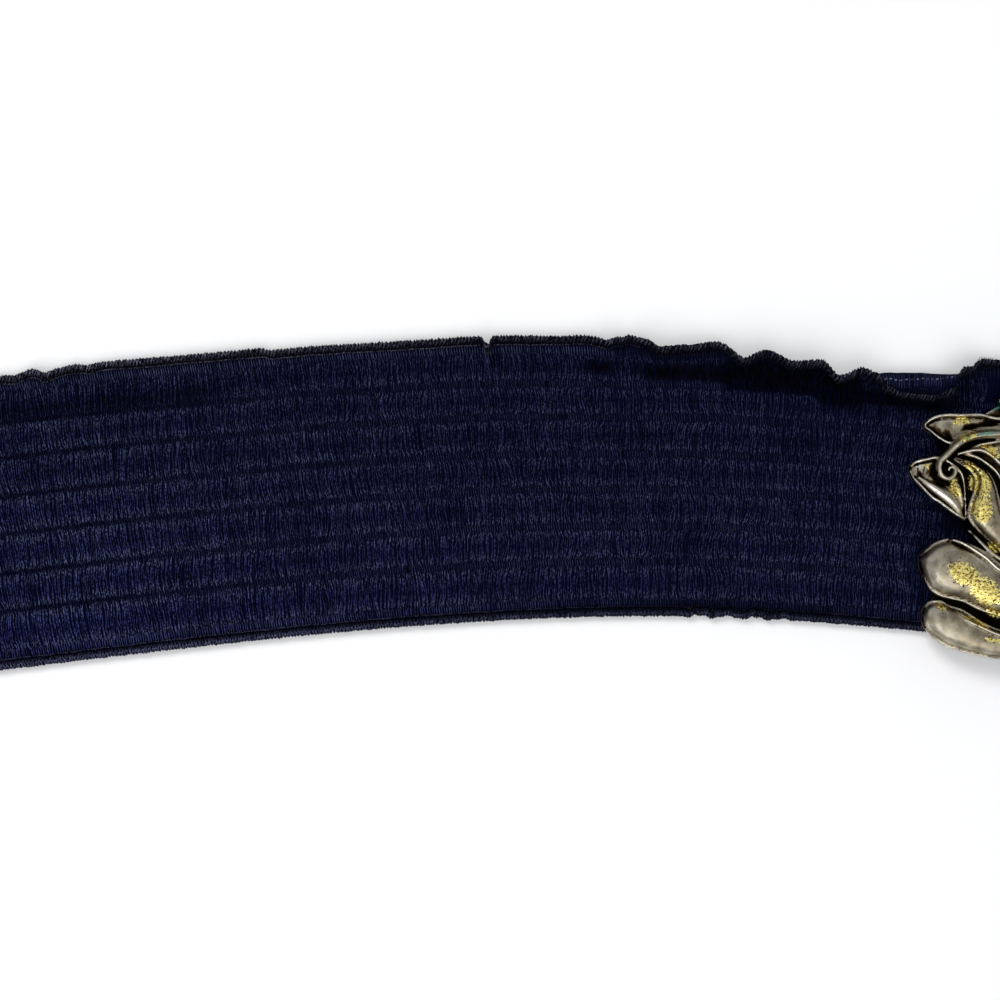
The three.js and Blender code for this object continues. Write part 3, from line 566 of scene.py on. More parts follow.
elastic = capped("elastic_cloth", cloth_rings, backing)
tail_run = math.pi * INNER_RADIUS + TAIL_LENGTH
runs = np.linspace(1, tail_run, TURN_STEPS + TAIL_STEPS)
ring_places = [BAR_FROM_SEAM - runs[::-1], front_stations, BELT_LENGTH - BAR_FROM_SEAM + runs]
set_values(elastic, "along_mm", np.repeat(np.concatenate(ring_places), len(cloth_rings[0])))
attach(elastic, BODY)
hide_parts("elastic_band")

# %% [markdown]
# ## Float threads
# What one sees of such elastic is not the cloth but its floats: soft, dense threads that run across each
# channel from row to row. They lie side by side and curve in clumps, a little to one side for a while and
# then to the other, and their ends puff up and catch the light beside the rows. Hair curves would draw
# them too, but thin tubes joined in one mesh keep their shape in any program, so each thread is a tube of
# three sides, and smooth shading makes it look round.

# %% Where the float threads run
THREAD_PITCH = 0.43
THREAD_RADIUS = 0.19
ROW_HALF = 1.05  # half the height of a stitched row
FLOAT_FROM_SEAM = 36.0
THREAD_RINGS = 7
THREAD_SIDES = 3
RING_PARTS = np.array([0.0, 0.10, 0.28, 0.50, 0.72, 0.90, 1.0])  # of the way across a channel
RING_SIZES = np.array([0.55, 1.0, 1.0, 1.0, 1.0, 1.0, 0.55])
# painted highlight along each thread: brighter where the pile puffs up beside the rows, darker mid-channel
RING_HIGHLIGHT = np.array([1.35, 1.55, 0.87, 0.56, 0.94, 1.5, 1.3])  # the pile puffs up beside the rows
# painted shade: the top channel's threads are darker towards the hem, where they dive under it
SHADE_UNDER_HEM = np.array([1.0, 1.0, 1.0, 1.0, 0.95, 0.66, 0.6])  # the top channel's threads dive under the hem
SPIN = np.arange(THREAD_SIDES) * 2 * np.pi / THREAD_SIDES  # directions of a thread's sides
TURNS = SPIN + np.pi / 2  # the same with one corner up
# How unevenly the threads lie, in millimetres: in drifts, each with a spacing along the belt, and singly
PITCH_CHANCE = 0.12
LEAN_DRIFTS, LEAN_CHANCE = ((0.35, 19), (0.4, 4)), 0.14  # how far a thread's ends stand apart, halved
BOW_SPACING, BOW_CHANCE = 9, 0.12
WANDER = 0.13  # of each ring of a thread
FLUFF, FLUFF_DRIFT, FLUFF_SPACING, FLUFF_CHANCE = 0.08, 0.10, 3, 0.12  # how far its middle stands up
LOW_END_CHANCE, HIGH_END_CHANCE = (-0.3, 0.3), (-0.35, 0.25)
# How bright the threads are, in clumps and one by one, before the painted light and shade below
FLOAT_SHADE, SHADE_DRIFTS, SHADE_CHANCE = 0.38, ((0.06, 5), (0.05, 17)), 0.11
LEAST_SHADE = 0.04
SLICES = 900  # range of the numbers that tell threads apart
# Painted light: how bright the pile is made across the belt, from the lower edge up, and along it
PAINTED_LIGHT_LOW_EDGE, PAINTED_LIGHT_FALL = 1.35, 0.55
PAINTED_LIGHT_ALONG = {"from_seam": [36, 64, 110, 200, 260, 334], "part": [0.78, 0.62, 0.67, 0.88, 1.14, 1.18]}
# Painted shade in the crease below the raised upper edge: how dark it is, how far above the row before last,
# half its height
CREASE_SHADE = {
    "from_seam": [44, 50, 66, 69, 76, 79, 98, 101, 117, 120, 124, 127, 131, 134, 212, 228, 250, 276, 290],
    "dark": [0, 0.9, 0.95, 1, 1, 1, 1, 1, 1, 0.3, 0.3, 1, 0.9, 0, 0, 0.75, 0.8, 0.75, 0],
    "up": [-0.1, -0.1, -0.1, 3.0, 3.0, 4.3, 4.3, 3.6, 3.6, 4.4, 4.8, 4.8, 4.8, 4.8, 2.1, 2.1, 2.1, 2.1, 2.1],
    "half": [1.6, 1.6, 1.6, 5.6, 5.6, 4.4, 4.4, 1.9, 1.9, 1.2, 1.2, 1.2, 1.2, 1.2, 1.2, 1.2, 1.2, 1.2, 1.2],
}
CREASE_SHADE_RIM = 1.6  # over which it fades out
# Where the top channel is gathered into small bundles: painted light and shade, bright on the bundles and
# dark in the gaps between them, and how deep that shade is
GATHER_PITCH = 1.35
GATHER_LIGHT_AND_SHADE = {"from_seam": [212, 224, 276, 290], "depth": [0, 0.6, 0.6, 0]}
# How far the threads bow out along the belt in clumps, in millimetres
BOWED = {"from_seam": [36, 150, 240, 334], "reach": [0.9, 0.8, 0.4, 0.4]}
# Dark spots in the pile, and in the last four, painted shade close beside the clasp's leaves
DARK_SPOTS_AND_SHADE = [
    # from the seam, up from the lower edge, half as long, half as high, how dark
    (274.0, 19.0, 1.0, 2.0, 0.9), (232.7, 28.3, 1.4, 1.6, 0.6), (189.0, 11.7, 1.2, 1.5, 0.6),
    (105.0, 10.3, 2.6, 1.4, 0.7), (96.0, 11.5, 1.8, 1.2, 0.6), (37.5, 29.5, 4.5, 5.0, 0.95),
    (44.5, 48.5, 3.0, 3.0, 0.85), (48.0, 17.0, 2.4, 11.0, 0.8), (48.0, 40.0, 2.0, 6.0, 0.5),
]
# How far the pile hangs over the rows beside it, in millimetres
OVERHANG = {"from_seam": [36, 170, 240, 334], "reach": [0.25, 0.3, 0.62, 0.66]}


def painted_light(station, u):
    """Painted light on the pile at a place: it falls off towards the hook and the upper edge."""
    width = np.interp(station, STATIONS, WIDTH)
    along = eased(PAINTED_LIGHT_ALONG, np.where(station < BELT_LENGTH / 2, station, BELT_LENGTH / 2), "part")
    return along * (PAINTED_LIGHT_LOW_EDGE - PAINTED_LIGHT_FALL * u / width)


def after_dark_spots_and_shade(station, u):
    """What the dark spots and the painted shade beside the leaves leave of the pile's brightness."""
    left = 1.0
    for at, up, length, height, dark in DARK_SPOTS_AND_SHADE:
        left = left * (1 - dark * np.exp(-(((station - at) / length) ** 2) - ((u - up) / height) ** 2))
    return left


def after_crease_shade(station, u):
    """What the painted shade in the crease below the raised edge leaves of the pile's brightness."""
    middle = ROW_HEIGHTS[6] * np.interp(station, STATIONS, SCALE) + eased(CREASE_SHADE, station, "up")
    past = np.abs(u - middle) - eased(CREASE_SHADE, station, "half")
    return 1 - eased(CREASE_SHADE, station, "dark") * np.clip(1 - past / CREASE_SHADE_RIM, 0, 1)


def spaced(pitch, from_seam, unevenness):
    """Stations of threads along the belt, a little uneven."""
    station = np.arange(from_seam, BELT_LENGTH - from_seam, pitch)
    return station + chance.uniform(-unevenness, unevenness, len(station))


def tubes_on_band(s, u, above, radii):
    """Points of three-sided tubes on the elastic, from the places of their rings: one row for each tube."""
    radius = radii[None, :, None]
    ring_s = s[:, :, None] + radius * np.cos(TURNS)
    ring_n = above[:, :, None] + radius * np.sin(TURNS)
    return on_band(ring_s, np.broadcast_to(u[:, :, None], ring_s.shape), ring_n).reshape(-1, 3)


def float_threads(channel):
    """Points of one channel's threads, their shades and a number of each thread's own."""
    station = spaced(THREAD_PITCH, FLOAT_FROM_SEAM, PITCH_CHANCE)
    count = len(station)
    lean = drifts(station, LEAN_DRIFTS) + chance.normal(0, LEAN_CHANCE, count)
    bow = eased(BOWED, station, "reach") * drift(station, BOW_SPACING) + chance.normal(0, BOW_CHANCE, count)
    wander = chance.normal(0, WANDER, (count, THREAD_RINGS))
    fluff = FLUFF + FLUFF_DRIFT * np.abs(drift(station, FLUFF_SPACING))
    fluff = fluff + chance.uniform(0, FLUFF_CHANCE, count)
    scale = np.interp(station, STATIONS, SCALE)
    over = np.interp(to_seam(station), OVERHANG["from_seam"], OVERHANG["reach"])
    low = (ROW_HEIGHTS[channel] + ROW_HALF - over - chance.uniform(*LOW_END_CHANCE, count)) * scale
    high = (ROW_HEIGHTS[channel + 1] - ROW_HALF + over + chance.uniform(*HIGH_END_CHANCE, count)) * scale
    part = RING_PARTS[None, :]
    u = low[:, None] + (high - low)[:, None] * part
    s = station[:, None] + lean[:, None] * (part - 0.5) * 2 + bow[:, None] * 4 * part * (1 - part) + wander
    above = thickness(s, u) - THREAD_SINK + THREAD_RADIUS * 0.5 + fluff[:, None] * 4 * part * (1 - part)
    clumps = drifts(station, SHADE_DRIFTS)
    shade = np.clip(FLOAT_SHADE + clumps + chance.normal(0, SHADE_CHANCE, count), LEAST_SHADE, 1)
    rings = RING_HIGHLIGHT
    if channel == CHANNELS - 1:
        # painted light and shade of the gathers in the top channel
        shade = shade * (1 + eased(GATHER_LIGHT_AND_SHADE, station, "depth") * np.sin(2 * np.pi * station / GATHER_PITCH))
        rings = RING_HIGHLIGHT * SHADE_UNDER_HEM
    # the shade: each thread's own tone, times painted highlight, painted light, painted crease shade, dark
    # spots and painted shade
    shade = shade[:, None] * rings[None, :] * painted_light(s, u) * after_crease_shade(s, u) * after_dark_spots_and_shade(s, u)
    own = np.repeat(chance.uniform(0, SLICES, count), THREAD_RINGS * THREAD_SIDES)
    points = tubes_on_band(s, u, above, THREAD_RADIUS * RING_SIZES)
    return points, np.repeat(shade.ravel(), THREAD_SIDES), own


print("about", int((BELT_LENGTH - 2 * FLOAT_FROM_SEAM) / THREAD_PITCH), "threads in each channel")

# %% [markdown]
# ## Finish of the floats
# The floats are textured nylon, dyed navy. The dye swallows most of the light, and the crimp of the yarn
# breaks the glints of what is left into short, curly flecks, which are painted into the colour as painted
# glints. So the colour along a thread comes from noise, and a stored number sends each thread to its own
# slice of that noise. The worn upper side has lost its blue and looks greyer, and so do the painted
# highlights at the threads' ends.

# %% Finish of the floats and rows: textured nylon, dyed navy
# the flecks are painted glints
CRIMP_LENGTH = 0.55  # of a fleck along a thread, in millimetres
# the painted highlight at a thread's ends is also made greyer
ENDS_GREYED = 0.8  # how much a thread's puffed ends add to its greyness


def dyed_nylon(name, least):
    """Navy nylon, with painted glints. least is how bright a thread stays between its painted glints."""
    material, tree, shader = new_material(name, Roughness=0.55)
    shader.inputs["Specular IOR Level"].default_value = 0.03
    shade, own, grey = [
        add_node(tree, "ShaderNodeAttribute", attribute_name=kept).outputs["Fac"]
        for kept in ("shade", "own", "grey")
    ]
    place = add_node(tree, "ShaderNodeTexCoord")
    crimp = add_node(
        tree,
        "ShaderNodeTexNoise",
        {"Vector": place.outputs["Object"], "W": own, "Scale": 1 / (CRIMP_LENGTH * MM), "Detail": 1.0},
        noise_dimensions="4D",
    )
    broken = add_node(
        tree,
        "ShaderNodeMapRange",
        {"Value": crimp.outputs["Fac"], "From Min": 0.46, "From Max": 0.60, "To Min": least, "To Max": 1.0},
    )
    # catch: painted glints, the thread's shade broken up by the crimp noise
    catch = add_node(tree, "ShaderNodeMath", {0: shade, 1: broken.outputs[0]}, operation="MULTIPLY")
    # where the shade is low, mostly in the painted crease shade, the colour falls to nearly black
    lit = add_node(tree, "ShaderNodeMapRange", {"Value": shade, "From Min": 0.0, "From Max": 0.25})
    deep = add_node(
        tree,
        "ShaderNodeMix",
        {"Factor": lit.outputs[0], "A": linear("#010105"), "B": linear("#050925")},
        data_type="RGBA",
    )
    inputs = {"Factor": grey, "A": linear("#464f9c"), "B": linear("#5a6288")}
    pale = add_node(tree, "ShaderNodeMix", inputs, data_type="RGBA")
    colour = add_node(
        tree,
        "ShaderNodeMix",
        {"Factor": catch.outputs[0], "A": deep.outputs["Result"], "B": pale.outputs["Result"]},
        data_type="RGBA",
    )
    tree.links.new(colour.outputs["Result"], shader.inputs["Base Color"])
    return material


GREY_ALONG, GREY_UP = 450, 120  # distances on the table over which the blue is lost


def greyness(points):
    """How far the dye has lost its blue: more towards the hook's end and the upper edge."""
    return np.clip(0.5 + points[:, 0] / GREY_ALONG + points[:, 1] / GREY_UP, 0, 1)


pile = dyed_nylon("textured_nylon_floats", 0.1)
comb = dyed_nylon("tight_nylon_rows", 0.45)
print("floats are flecked every", CRIMP_LENGTH, "mm or so")

# %% Laying the floats
FLOAT_GROUPS = {
    "channel_floats_low": (0, 1),
    "channel_floats_middle": (2, 3),
    "channel_floats_high": (4, 5, 6),
}
for name, channels in FLOAT_GROUPS.items():
    points, shade, own = [np.concatenate(kept) for kept in zip(*[float_threads(c) for c in channels])]
    threads = len(points) // (THREAD_RINGS * THREAD_SIDES)
    piece = new_object(name, points, *tube_faces(threads, THREAD_RINGS, THREAD_SIDES), pile)
    set_values(piece, "shade", shade)
    set_values(piece, "own", own)
    # grey: the dye's lost blue, plus more on the painted highlight at the threads' ends
    ends = np.tile(np.repeat(RING_HIGHLIGHT, THREAD_SIDES), threads) - 1
    set_values(piece, "grey", np.clip(greyness(points) + ENDS_GREYED * ends, 0, 1))
    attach(piece, BODY)

# %% [markdown]
# ## Stitched rows
# Between the channels the threads are drawn down tight over the rubber, side by side, like the teeth of a
# fine comb. They are short tubes again, one for each rib. The lowest and highest rows belong to the hems,
# whose ribs are longer and rubbed paler. Where the upper edge is folded over near the hook, the ribs show
# on its back.

# %% Ribs of the stitched rows
RIB_RADIUS = 0.18
RIB_RINGS = 3
RIB_FROM_SEAM = 24.0
HEM_RIB_MORE = 0.35  # how much further the hems' ribs reach to both sides
RIB_PITCH_CHANCE, RIB_PLACE_CHANCE = 0.05, 0.06  # how unevenly they stand along the belt
RIB_SLANT = 0.10  # how far along the belt a rib's ends stand from its middle
RIB_RISE, RIB_CROWN = 0.02, 0.10  # above the row at a rib's ends, and more at its middle
RIB_WEAR_DRIFT, RIB_WEAR_SPACING, RIB_WEAR_CHANCE = 0.3, 6, 0.3
TURNED_FROM, TURNED_TO = 34.0, 72.0
TURNED_UP = np.array([0.7, 2.6, 4.5])  # above the top row, of the rings of a rib on the back
TURNED_SINK = 0.08  # how far below the back's face such a rib's middle lies
TURNED_CHANCE = 0.08  # how unevenly its rings stand along the belt
TURNED_SHADE, TURNED_SHADE_CHANCE = 0.2, 0.1  # how bright it is, give or take
RIB_PARTS = np.array([-1.0, 0.0, 1.0])
RIB_SIZES = np.array([0.6, 1.0, 0.6])
# What the rings of a rib, from the lower edge up, keep of its shine
RIB_SHINE = {"lower": [1.05, 1.0, 0.75], "upper": [1.12, 0.95, 0.65], "between": [1.0, 1.0, 1.0]}
# How much the rows shine, the two hems and then the rows between them
ROW_WEAR = {
    "lower": {"from_seam": [30, 60, 75, 90, 115, 130, 184, 210, 240, 260, 640],
              "part": [0.3, 0.27, 0.2, 0.14, 0.16, 0.3, 0.45, 0.6, 0.5, 0.35, 0.35]},
    "upper": {"from_seam": [30, 98, 120, 130, 184, 220, 236, 260, 640],
              "part": [0.2, 0.17, 0.2, 0.75, 0.66, 0.75, 0.8, 0.5, 0.5]},
    "between": {"from_seam": [30, 120, 210, 260, 640], "part": [0.3, 0.3, 0.2, 0.09, 0.09]},
}


def row_ribs(row):
    """Points and shades of the ribs along one stitched row."""
    station = spaced(RIB_PITCH, RIB_FROM_SEAM, RIB_PITCH_CHANCE)
    place = {0: "lower", CHANNELS: "upper"}.get(row, "between")
    half = ROW_HALF if place == "between" else ROW_HALF + HEM_RIB_MORE
    u = (ROW_HEIGHTS[row] * np.interp(station, STATIONS, SCALE))[:, None] + RIB_PARTS * half
    s = station[:, None] + RIB_SLANT * RIB_PARTS + RIB_PLACE_CHANCE * chance.normal(0, 1, (len(station), 1))
    above = np.broadcast_to(ROW_THICKNESS + RIB_RISE + RIB_CROWN * (1 - RIB_PARTS**2), s.shape)
    worn = np.interp(station, ROW_WEAR[place]["from_seam"], ROW_WEAR[place]["part"])
    uneven = drifts(station, [(RIB_WEAR_DRIFT, RIB_WEAR_SPACING)], 1.0)
    shade = np.clip(worn * (uneven + chance.normal(0, RIB_WEAR_CHANCE, len(station))), 0, 1)
    # painted light along the belt and painted crease shade on the ribs, as on the floats
    shade = shade * painted_light(station, u[:, 1]) * after_crease_shade(station, u[:, 1])
    shade = shade[:, None] * np.array(RIB_SHINE[place])
    return tubes_on_band(s, u, above, RIB_RADIUS * RIB_SIZES), np.repeat(shade.ravel(), THREAD_SIDES)


def turned_ribs():
    """Points and shades of the ribs on the upper hem's back, which show where the edge is folded over."""
    station = np.arange(TURNED_FROM, TURNED_TO, RIB_PITCH)
    u = (ROW_HEIGHTS[-1] * np.interp(station, STATIONS, SCALE))[:, None] + TURNED_UP
    s = station[:, None] + chance.uniform(-TURNED_CHANCE, TURNED_CHANCE, u.shape)
    shade = np.clip(TURNED_SHADE + chance.normal(0, TURNED_SHADE_CHANCE, len(station)), 0, 1)
    points = tubes_on_band(s, u, np.full(s.shape, -TURNED_SINK), RIB_RADIUS * RIB_SIZES)
    return points, np.repeat(shade, RIB_RINGS * THREAD_SIDES)


ribs_made = [*[row_ribs(row) for row in range(CHANNELS + 1)], turned_ribs()]
rib_points, rib_shades = [np.concatenate(kept) for kept in zip(*ribs_made)]
rib_count = len(rib_points) // (RIB_RINGS * THREAD_SIDES)
row_piece = new_object("stitched_rows", rib_points, *tube_faces(rib_count, RIB_RINGS, THREAD_SIDES), comb)
set_values(row_piece, "shade", rib_shades)
set_values(row_piece, "own", np.repeat(chance.uniform(0, SLICES, rib_count), RIB_RINGS * THREAD_SIDES))
set_values(row_piece, "grey", greyness(rib_points))
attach(row_piece, BODY)

# %% [markdown]
# ## Overlocked edges
# Each long edge is finished on an overlock machine: a cord-like roll under two threads. One wraps it
# every three quarters of a millimetre, a paler one crosses that the other way, and a tight chain of loops
# runs beside the roll. The threads are painted paler where they face up and out, a painted highlight, and
# nearly black beside the elastic, a painted shade. The wraps give the edge its fine scalloped outline. A
# twisted tube with a bump would look right only from far off, so each wrap is a tube of its own round a core.

# %% Finish of the overlock thread: spun polyester, near black
overlock, tree, shader = new_material("spun_polyester_overlock", Roughness=0.65)
shader.inputs["Specular IOR Level"].default_value = 0.03
shade, grey = [
    add_node(tree, "ShaderNodeAttribute", attribute_name=kept).outputs["Fac"] for kept in ("shade", "grey")
]
# the pale end: worn thread, and the colour of the painted highlight on the wraps
inputs = {"Factor": grey, "A": linear("#585b7a"), "B": linear("#7e7e92")}
worn_and_lit = add_node(tree, "ShaderNodeMix", inputs, data_type="RGBA")
inputs = {"Factor": shade, "A": linear("#02030c"), "B": worn_and_lit.outputs["Result"]}
colour = add_node(tree, "ShaderNodeMix", inputs, data_type="RGBA")
tree.links.new(colour.outputs["Result"], shader.inputs["Base Color"])
print("overlock thread from #02030c to #585b7a on the lower edge and to #7e7e92 on the upper one")

# %% Middle line of an edge
CORD_RADIUS = CORD_DIAMETER / 2
CORD_FROM_SEAM = 31.0
CORD_SUNK = 0.4  # part of its gap at which the upper cord's middle stands off the elastic
TABLE_CLEAR = 0.02  # how far the lowest thread stays above the table


def edge_line(station, edge):
    """y and z of the cord's middle beside the elastic, in the section's own plane, and the edge's slope."""
    width = np.interp(station, STATIONS, WIDTH)
    if edge == "lower":
        return CORD_RADIUS + hem_wave(station, 0.0), np.full(np.shape(station), CORD_RADIUS), 0.0 * station
    end = width - CORD_DIAMETER - CORD_GAP
    slope = from_grid(SLOPE, station, end)
    reach = CORD_RADIUS + CORD_GAP * CORD_SUNK
    y = from_grid(UNDER_Y, station, end) + np.cos(slope) * reach - np.sin(slope) * ROW_THICKNESS / 2
    z = from_grid(UNDER_Z, station, end) + np.sin(slope) * reach + np.cos(slope) * ROW_THICKNESS / 2
    return y, np.maximum(z, CORD_RADIUS), slope


def round_edge(station, edge, radius, angle):
    """Points round the cord. angle is measured in the section's plane from the direction across the belt."""
    y, z, slope = edge_line(station, edge)
    y = y + radius * np.cos(angle + slope)
    z = z + radius * np.sin(angle + slope)
    return in_frame(station, front_height(station), front_pitch(station), y, np.maximum(z, TABLE_CLEAR))


print("edge cord", CORD_DIAMETER, "mm thick")

# %% Wraps round an edge
WRAP_PITCH = 0.72
CROSSING_PITCH = 0.86
WRAP_RADIUS = 0.24
WRAP_SLANT = 1.9  # how far a wrap travels along the belt
WRAP_PITCH_CHANCE, WRAP_WANDER, WRAP_REACH_CHANCE = 0.14, 0.1, 0.07  # how unevenly it lies
# Round the cord, in degrees from the outside over the face, and how pale a wrap that faces there is painted:
# painted highlight facing up and out, painted shade facing the elastic
WRAP_TURNS = np.array([200, 150, 112, 94, 78, 40, -10, -80])
WRAP_PAINTED_LIGHT = {
    "lower": [0.5, 0.65, 1.05, 1.9, 5.0, 2.2, 0.9, 0.5],
    "upper": [0.3, 0.4, 0.65, 1.2, 3.4, 2.8, 1.4, 0.8],
}
WRAP_FLECKS = {"lower": 0.5, "upper": 0.75}  # how unevenly the wraps are rubbed
WRAP_REACH = np.array([0.6, 0.72, 0.9, 1, 1, 1, 1, 1])  # they dive into the elastic beside the cord
WRAP_RINGS = len(WRAP_TURNS)
EDGE_WEAR = {"from_seam": [31, 130, 230, 334, 640], "part": [0.45, 0.45, 1.0, 1.2, 1.2]}


def edge_wraps(edge, pitch, slant, outside, brightness):
    """Points of the thread wraps of one edge. They start and end in the elastic beside the cord."""
    station = spaced(pitch, CORD_FROM_SEAM, WRAP_PITCH_CHANCE)
    part = (WRAP_TURNS[0] - WRAP_TURNS)[None, :] / (WRAP_TURNS[0] - WRAP_TURNS[-1])
    turn = np.radians(WRAP_TURNS)[None, :]
    angle = turn if edge == "upper" else np.pi - turn
    s = station[:, None] + slant * (part - 0.5) + chance.normal(0, WRAP_WANDER, (len(station), WRAP_RINGS))
    reach = CORD_RADIUS - WRAP_RADIUS + outside + WRAP_REACH_CHANCE * chance.normal(0, 1, (len(station), 1))
    ring_s = s[:, :, None] + WRAP_RADIUS * np.sin(SPIN)
    ring_r = (reach * WRAP_REACH)[:, :, None] + WRAP_RADIUS * np.cos(SPIN)
    ring_a = np.broadcast_to((angle + 0 * s)[:, :, None], ring_s.shape)
    worn = np.interp(station, EDGE_WEAR["from_seam"], EDGE_WEAR["part"])[:, None]
    # painted light: a wrap is paler where it faces up and out, darker where it faces the elastic
    facing = WRAP_TURNS + np.degrees(edge_line(station, edge)[2])[:, None]
    pale = np.interp(-facing, -WRAP_TURNS, WRAP_PAINTED_LIGHT[edge])
    shade = np.clip(brightness * worn * pale * (1 + chance.normal(0, WRAP_FLECKS[edge], s.shape)), 0, 1)
    return round_edge(ring_s, edge, ring_r, ring_a).reshape(-1, 3), np.repeat(shade.ravel(), THREAD_SIDES)


print("a wrap every", WRAP_PITCH, "mm, crossed by one every", CROSSING_PITCH, "mm")

# %% Core and chain of an edge
CORE_STEP = 1.2
CORE_SIDES = 10
CORE_RADIUS = CORD_RADIUS - 1.5 * WRAP_RADIUS
CHAIN_LINK = 0.85
CHAIN_STEPS = 4  # points to a link
CHAIN_RADIUS = 0.18
LOOP_HALF, LOOP_RISE = 0.14, 0.12  # half the width of a loop, and how far it stands up and down
CHAIN_DRIFT, CHAIN_SPACING, CHAIN_CHANCE = 0.12, 3, 0.05  # how unevenly it runs
CHAIN_FLECKS = 0.9  # how unevenly the chain is rubbed
# How pale the chain of each edge is
CHAIN_PALE = {
    "lower": {"from_seam": [50, 75, 90, 120, 150, 200, 640],
              "part": [0.16, 0.08, 0.03, 0.06, 0.14, 0.22, 0.22]},
    "upper": {"from_seam": [50, 70, 118, 140, 165, 220, 640],
              "part": [0.03, 0, 0.02, 0.14, 0.18, 0.16, 0.2]},
}


def edge_core(edge):
    """Points of the roll that the threads are wrapped round."""
    station = np.arange(CORD_FROM_SEAM, BELT_LENGTH - CORD_FROM_SEAM + CORE_STEP, CORE_STEP)[:, None]
    angle = -np.arange(CORE_SIDES)[None, :] * 2 * np.pi / CORE_SIDES
    return round_edge(station + 0 * angle, edge, CORE_RADIUS, angle + 0 * station).reshape(-1, 3)


def chain_line(edge, from_edge, above):
    """One looper thread that runs along the elastic beside its edge in small loops."""
    count = int((BELT_LENGTH - 2 * CORD_FROM_SEAM) / CHAIN_LINK) * CHAIN_STEPS
    station = CORD_FROM_SEAM + np.arange(count)[:, None] * CHAIN_LINK / CHAIN_STEPS
    phase = 2 * np.pi * (station - CORD_FROM_SEAM) / CHAIN_LINK
    u = drifts(station, [(CHAIN_DRIFT, CHAIN_SPACING)], from_edge + LOOP_HALF * np.sin(phase))
    u = u + CHAIN_CHANCE * chance.normal(0, 1, station.shape)
    u = u if edge == "lower" else np.interp(station, STATIONS, WIDTH) - u
    n = above + LOOP_RISE * np.cos(phase)
    points = on_band(station + 0 * SPIN, u + CHAIN_RADIUS * np.cos(SPIN), n + CHAIN_RADIUS * np.sin(SPIN))
    pale = np.interp(station, CHAIN_PALE[edge]["from_seam"], CHAIN_PALE[edge]["part"])
    shade = np.clip(pale * (1 + CHAIN_FLECKS * chance.normal(0, 1, station.shape)), 0, 1)
    return points.reshape(-1, 3), np.repeat(shade.ravel(), THREAD_SIDES)


print("chain links", CHAIN_LINK, "mm long")


# %% Joining the edges
def joined_tubes(lots):
    """Points, quads and triangles of several lots of tubes: (points, rings, sides) each."""
    quads, triangles = [], []
    start = 0
    for points, rings, sides in lots:
        lot_quads, lot_triangles = tube_faces(len(points) // (rings * sides), rings, sides)
        quads.append(lot_quads + start)
        triangles.append(lot_triangles + start)
        start += len(points)
    return np.concatenate([points for points, _, _ in lots]), np.concatenate(quads), np.concatenate(triangles)


# The chain on the face and the one on the back: how far in from the edge, and how far above the underside
CHAINS = ((2.6, ROW_THICKNESS + 0.2), (3.4, -0.02))
WRAP_GLOW = {"lower": (0.15, 0.17), "upper": (0.05, 0.15)}  # how bright the wraps and the crossings are
CROSSING_OUTSIDE = 0.08  # how far the crossing thread lies outside the first
STITCH_PITCH = 1.3  # of the top row's stitches, on the back
STITCH_HALF, STITCH_RADIUS = 0.25, 0.2
STITCH_UP = 2.3  # above the top row
STITCH_SINK, STITCH_BEND = 0.12, 0.06  # below the back's face at the middle, and less at the ends
STITCH_SHADE, STITCH_SHADE_CHANCE = 0.6, 0.3  # how bright a stitch is, give or take
STITCH_PARTS = np.array([-1.0, 0.0, 1.0])


def back_stitches():
    """Short pale stitches of the top row, which show where the edge is folded over."""
    station = np.arange(CORD_FROM_SEAM, BELT_LENGTH - CORD_FROM_SEAM, STITCH_PITCH)[:, None, None]
    part = STITCH_PARTS[None, :, None]
    s = station + STITCH_HALF * part + 0 * SPIN
    u = ROW_HEIGHTS[-1] * np.interp(s, STATIONS, SCALE) + STITCH_UP + STITCH_RADIUS * np.cos(SPIN)
    n = -STITCH_SINK + STITCH_BEND * part**2 + STITCH_RADIUS * np.sin(SPIN)
    shade = np.clip(chance.normal(STITCH_SHADE, STITCH_SHADE_CHANCE, len(station)), 0, 1)
    return on_band(s, u, n).reshape(-1, 3), np.repeat(shade, len(STITCH_PARTS) * THREAD_SIDES)


for edge in ("lower", "upper"):
    wrap_glow, crossing_glow = WRAP_GLOW[edge]
    wraps, wrap_shade = edge_wraps(edge, WRAP_PITCH, WRAP_SLANT, 0.0, wrap_glow)
    crossings, crossing_shade = edge_wraps(edge, CROSSING_PITCH, -WRAP_SLANT, CROSSING_OUTSIDE, crossing_glow)
    core = edge_core(edge)
    (face_chain, chain_shade), (back_chain, back_shade) = [chain_line(edge, *place) for place in CHAINS]
    if edge == "lower":
        back_chain[:, 2] = np.maximum(back_chain[:, 2], TABLE_CLEAR)
    lots = [
        (wraps, WRAP_RINGS, THREAD_SIDES),
        (crossings, WRAP_RINGS, THREAD_SIDES),
        (core, len(core) // CORE_SIDES, CORE_SIDES),
        (face_chain, len(face_chain) // THREAD_SIDES, THREAD_SIDES),
        (back_chain, len(back_chain) // THREAD_SIDES, THREAD_SIDES),
    ]
    shades = [wrap_shade, crossing_shade, np.zeros(len(core)), chain_shade, back_shade]
    if edge == "upper":
        stitches, stitch_shade = back_stitches()
        lots.append((stitches, len(STITCH_PARTS), THREAD_SIDES))
        shades.append(stitch_shade)
    piece = new_object(edge + "_edge_overlock", *joined_tubes(lots), overlock)
    shade = np.concatenate(shades)
    set_values(piece, "shade", shade)
    set_values(piece, "grey", np.full(len(shade), 1.0 if edge == "upper" else 0.0))
    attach(piece, BODY)
    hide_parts(edge + "_edge_cord")

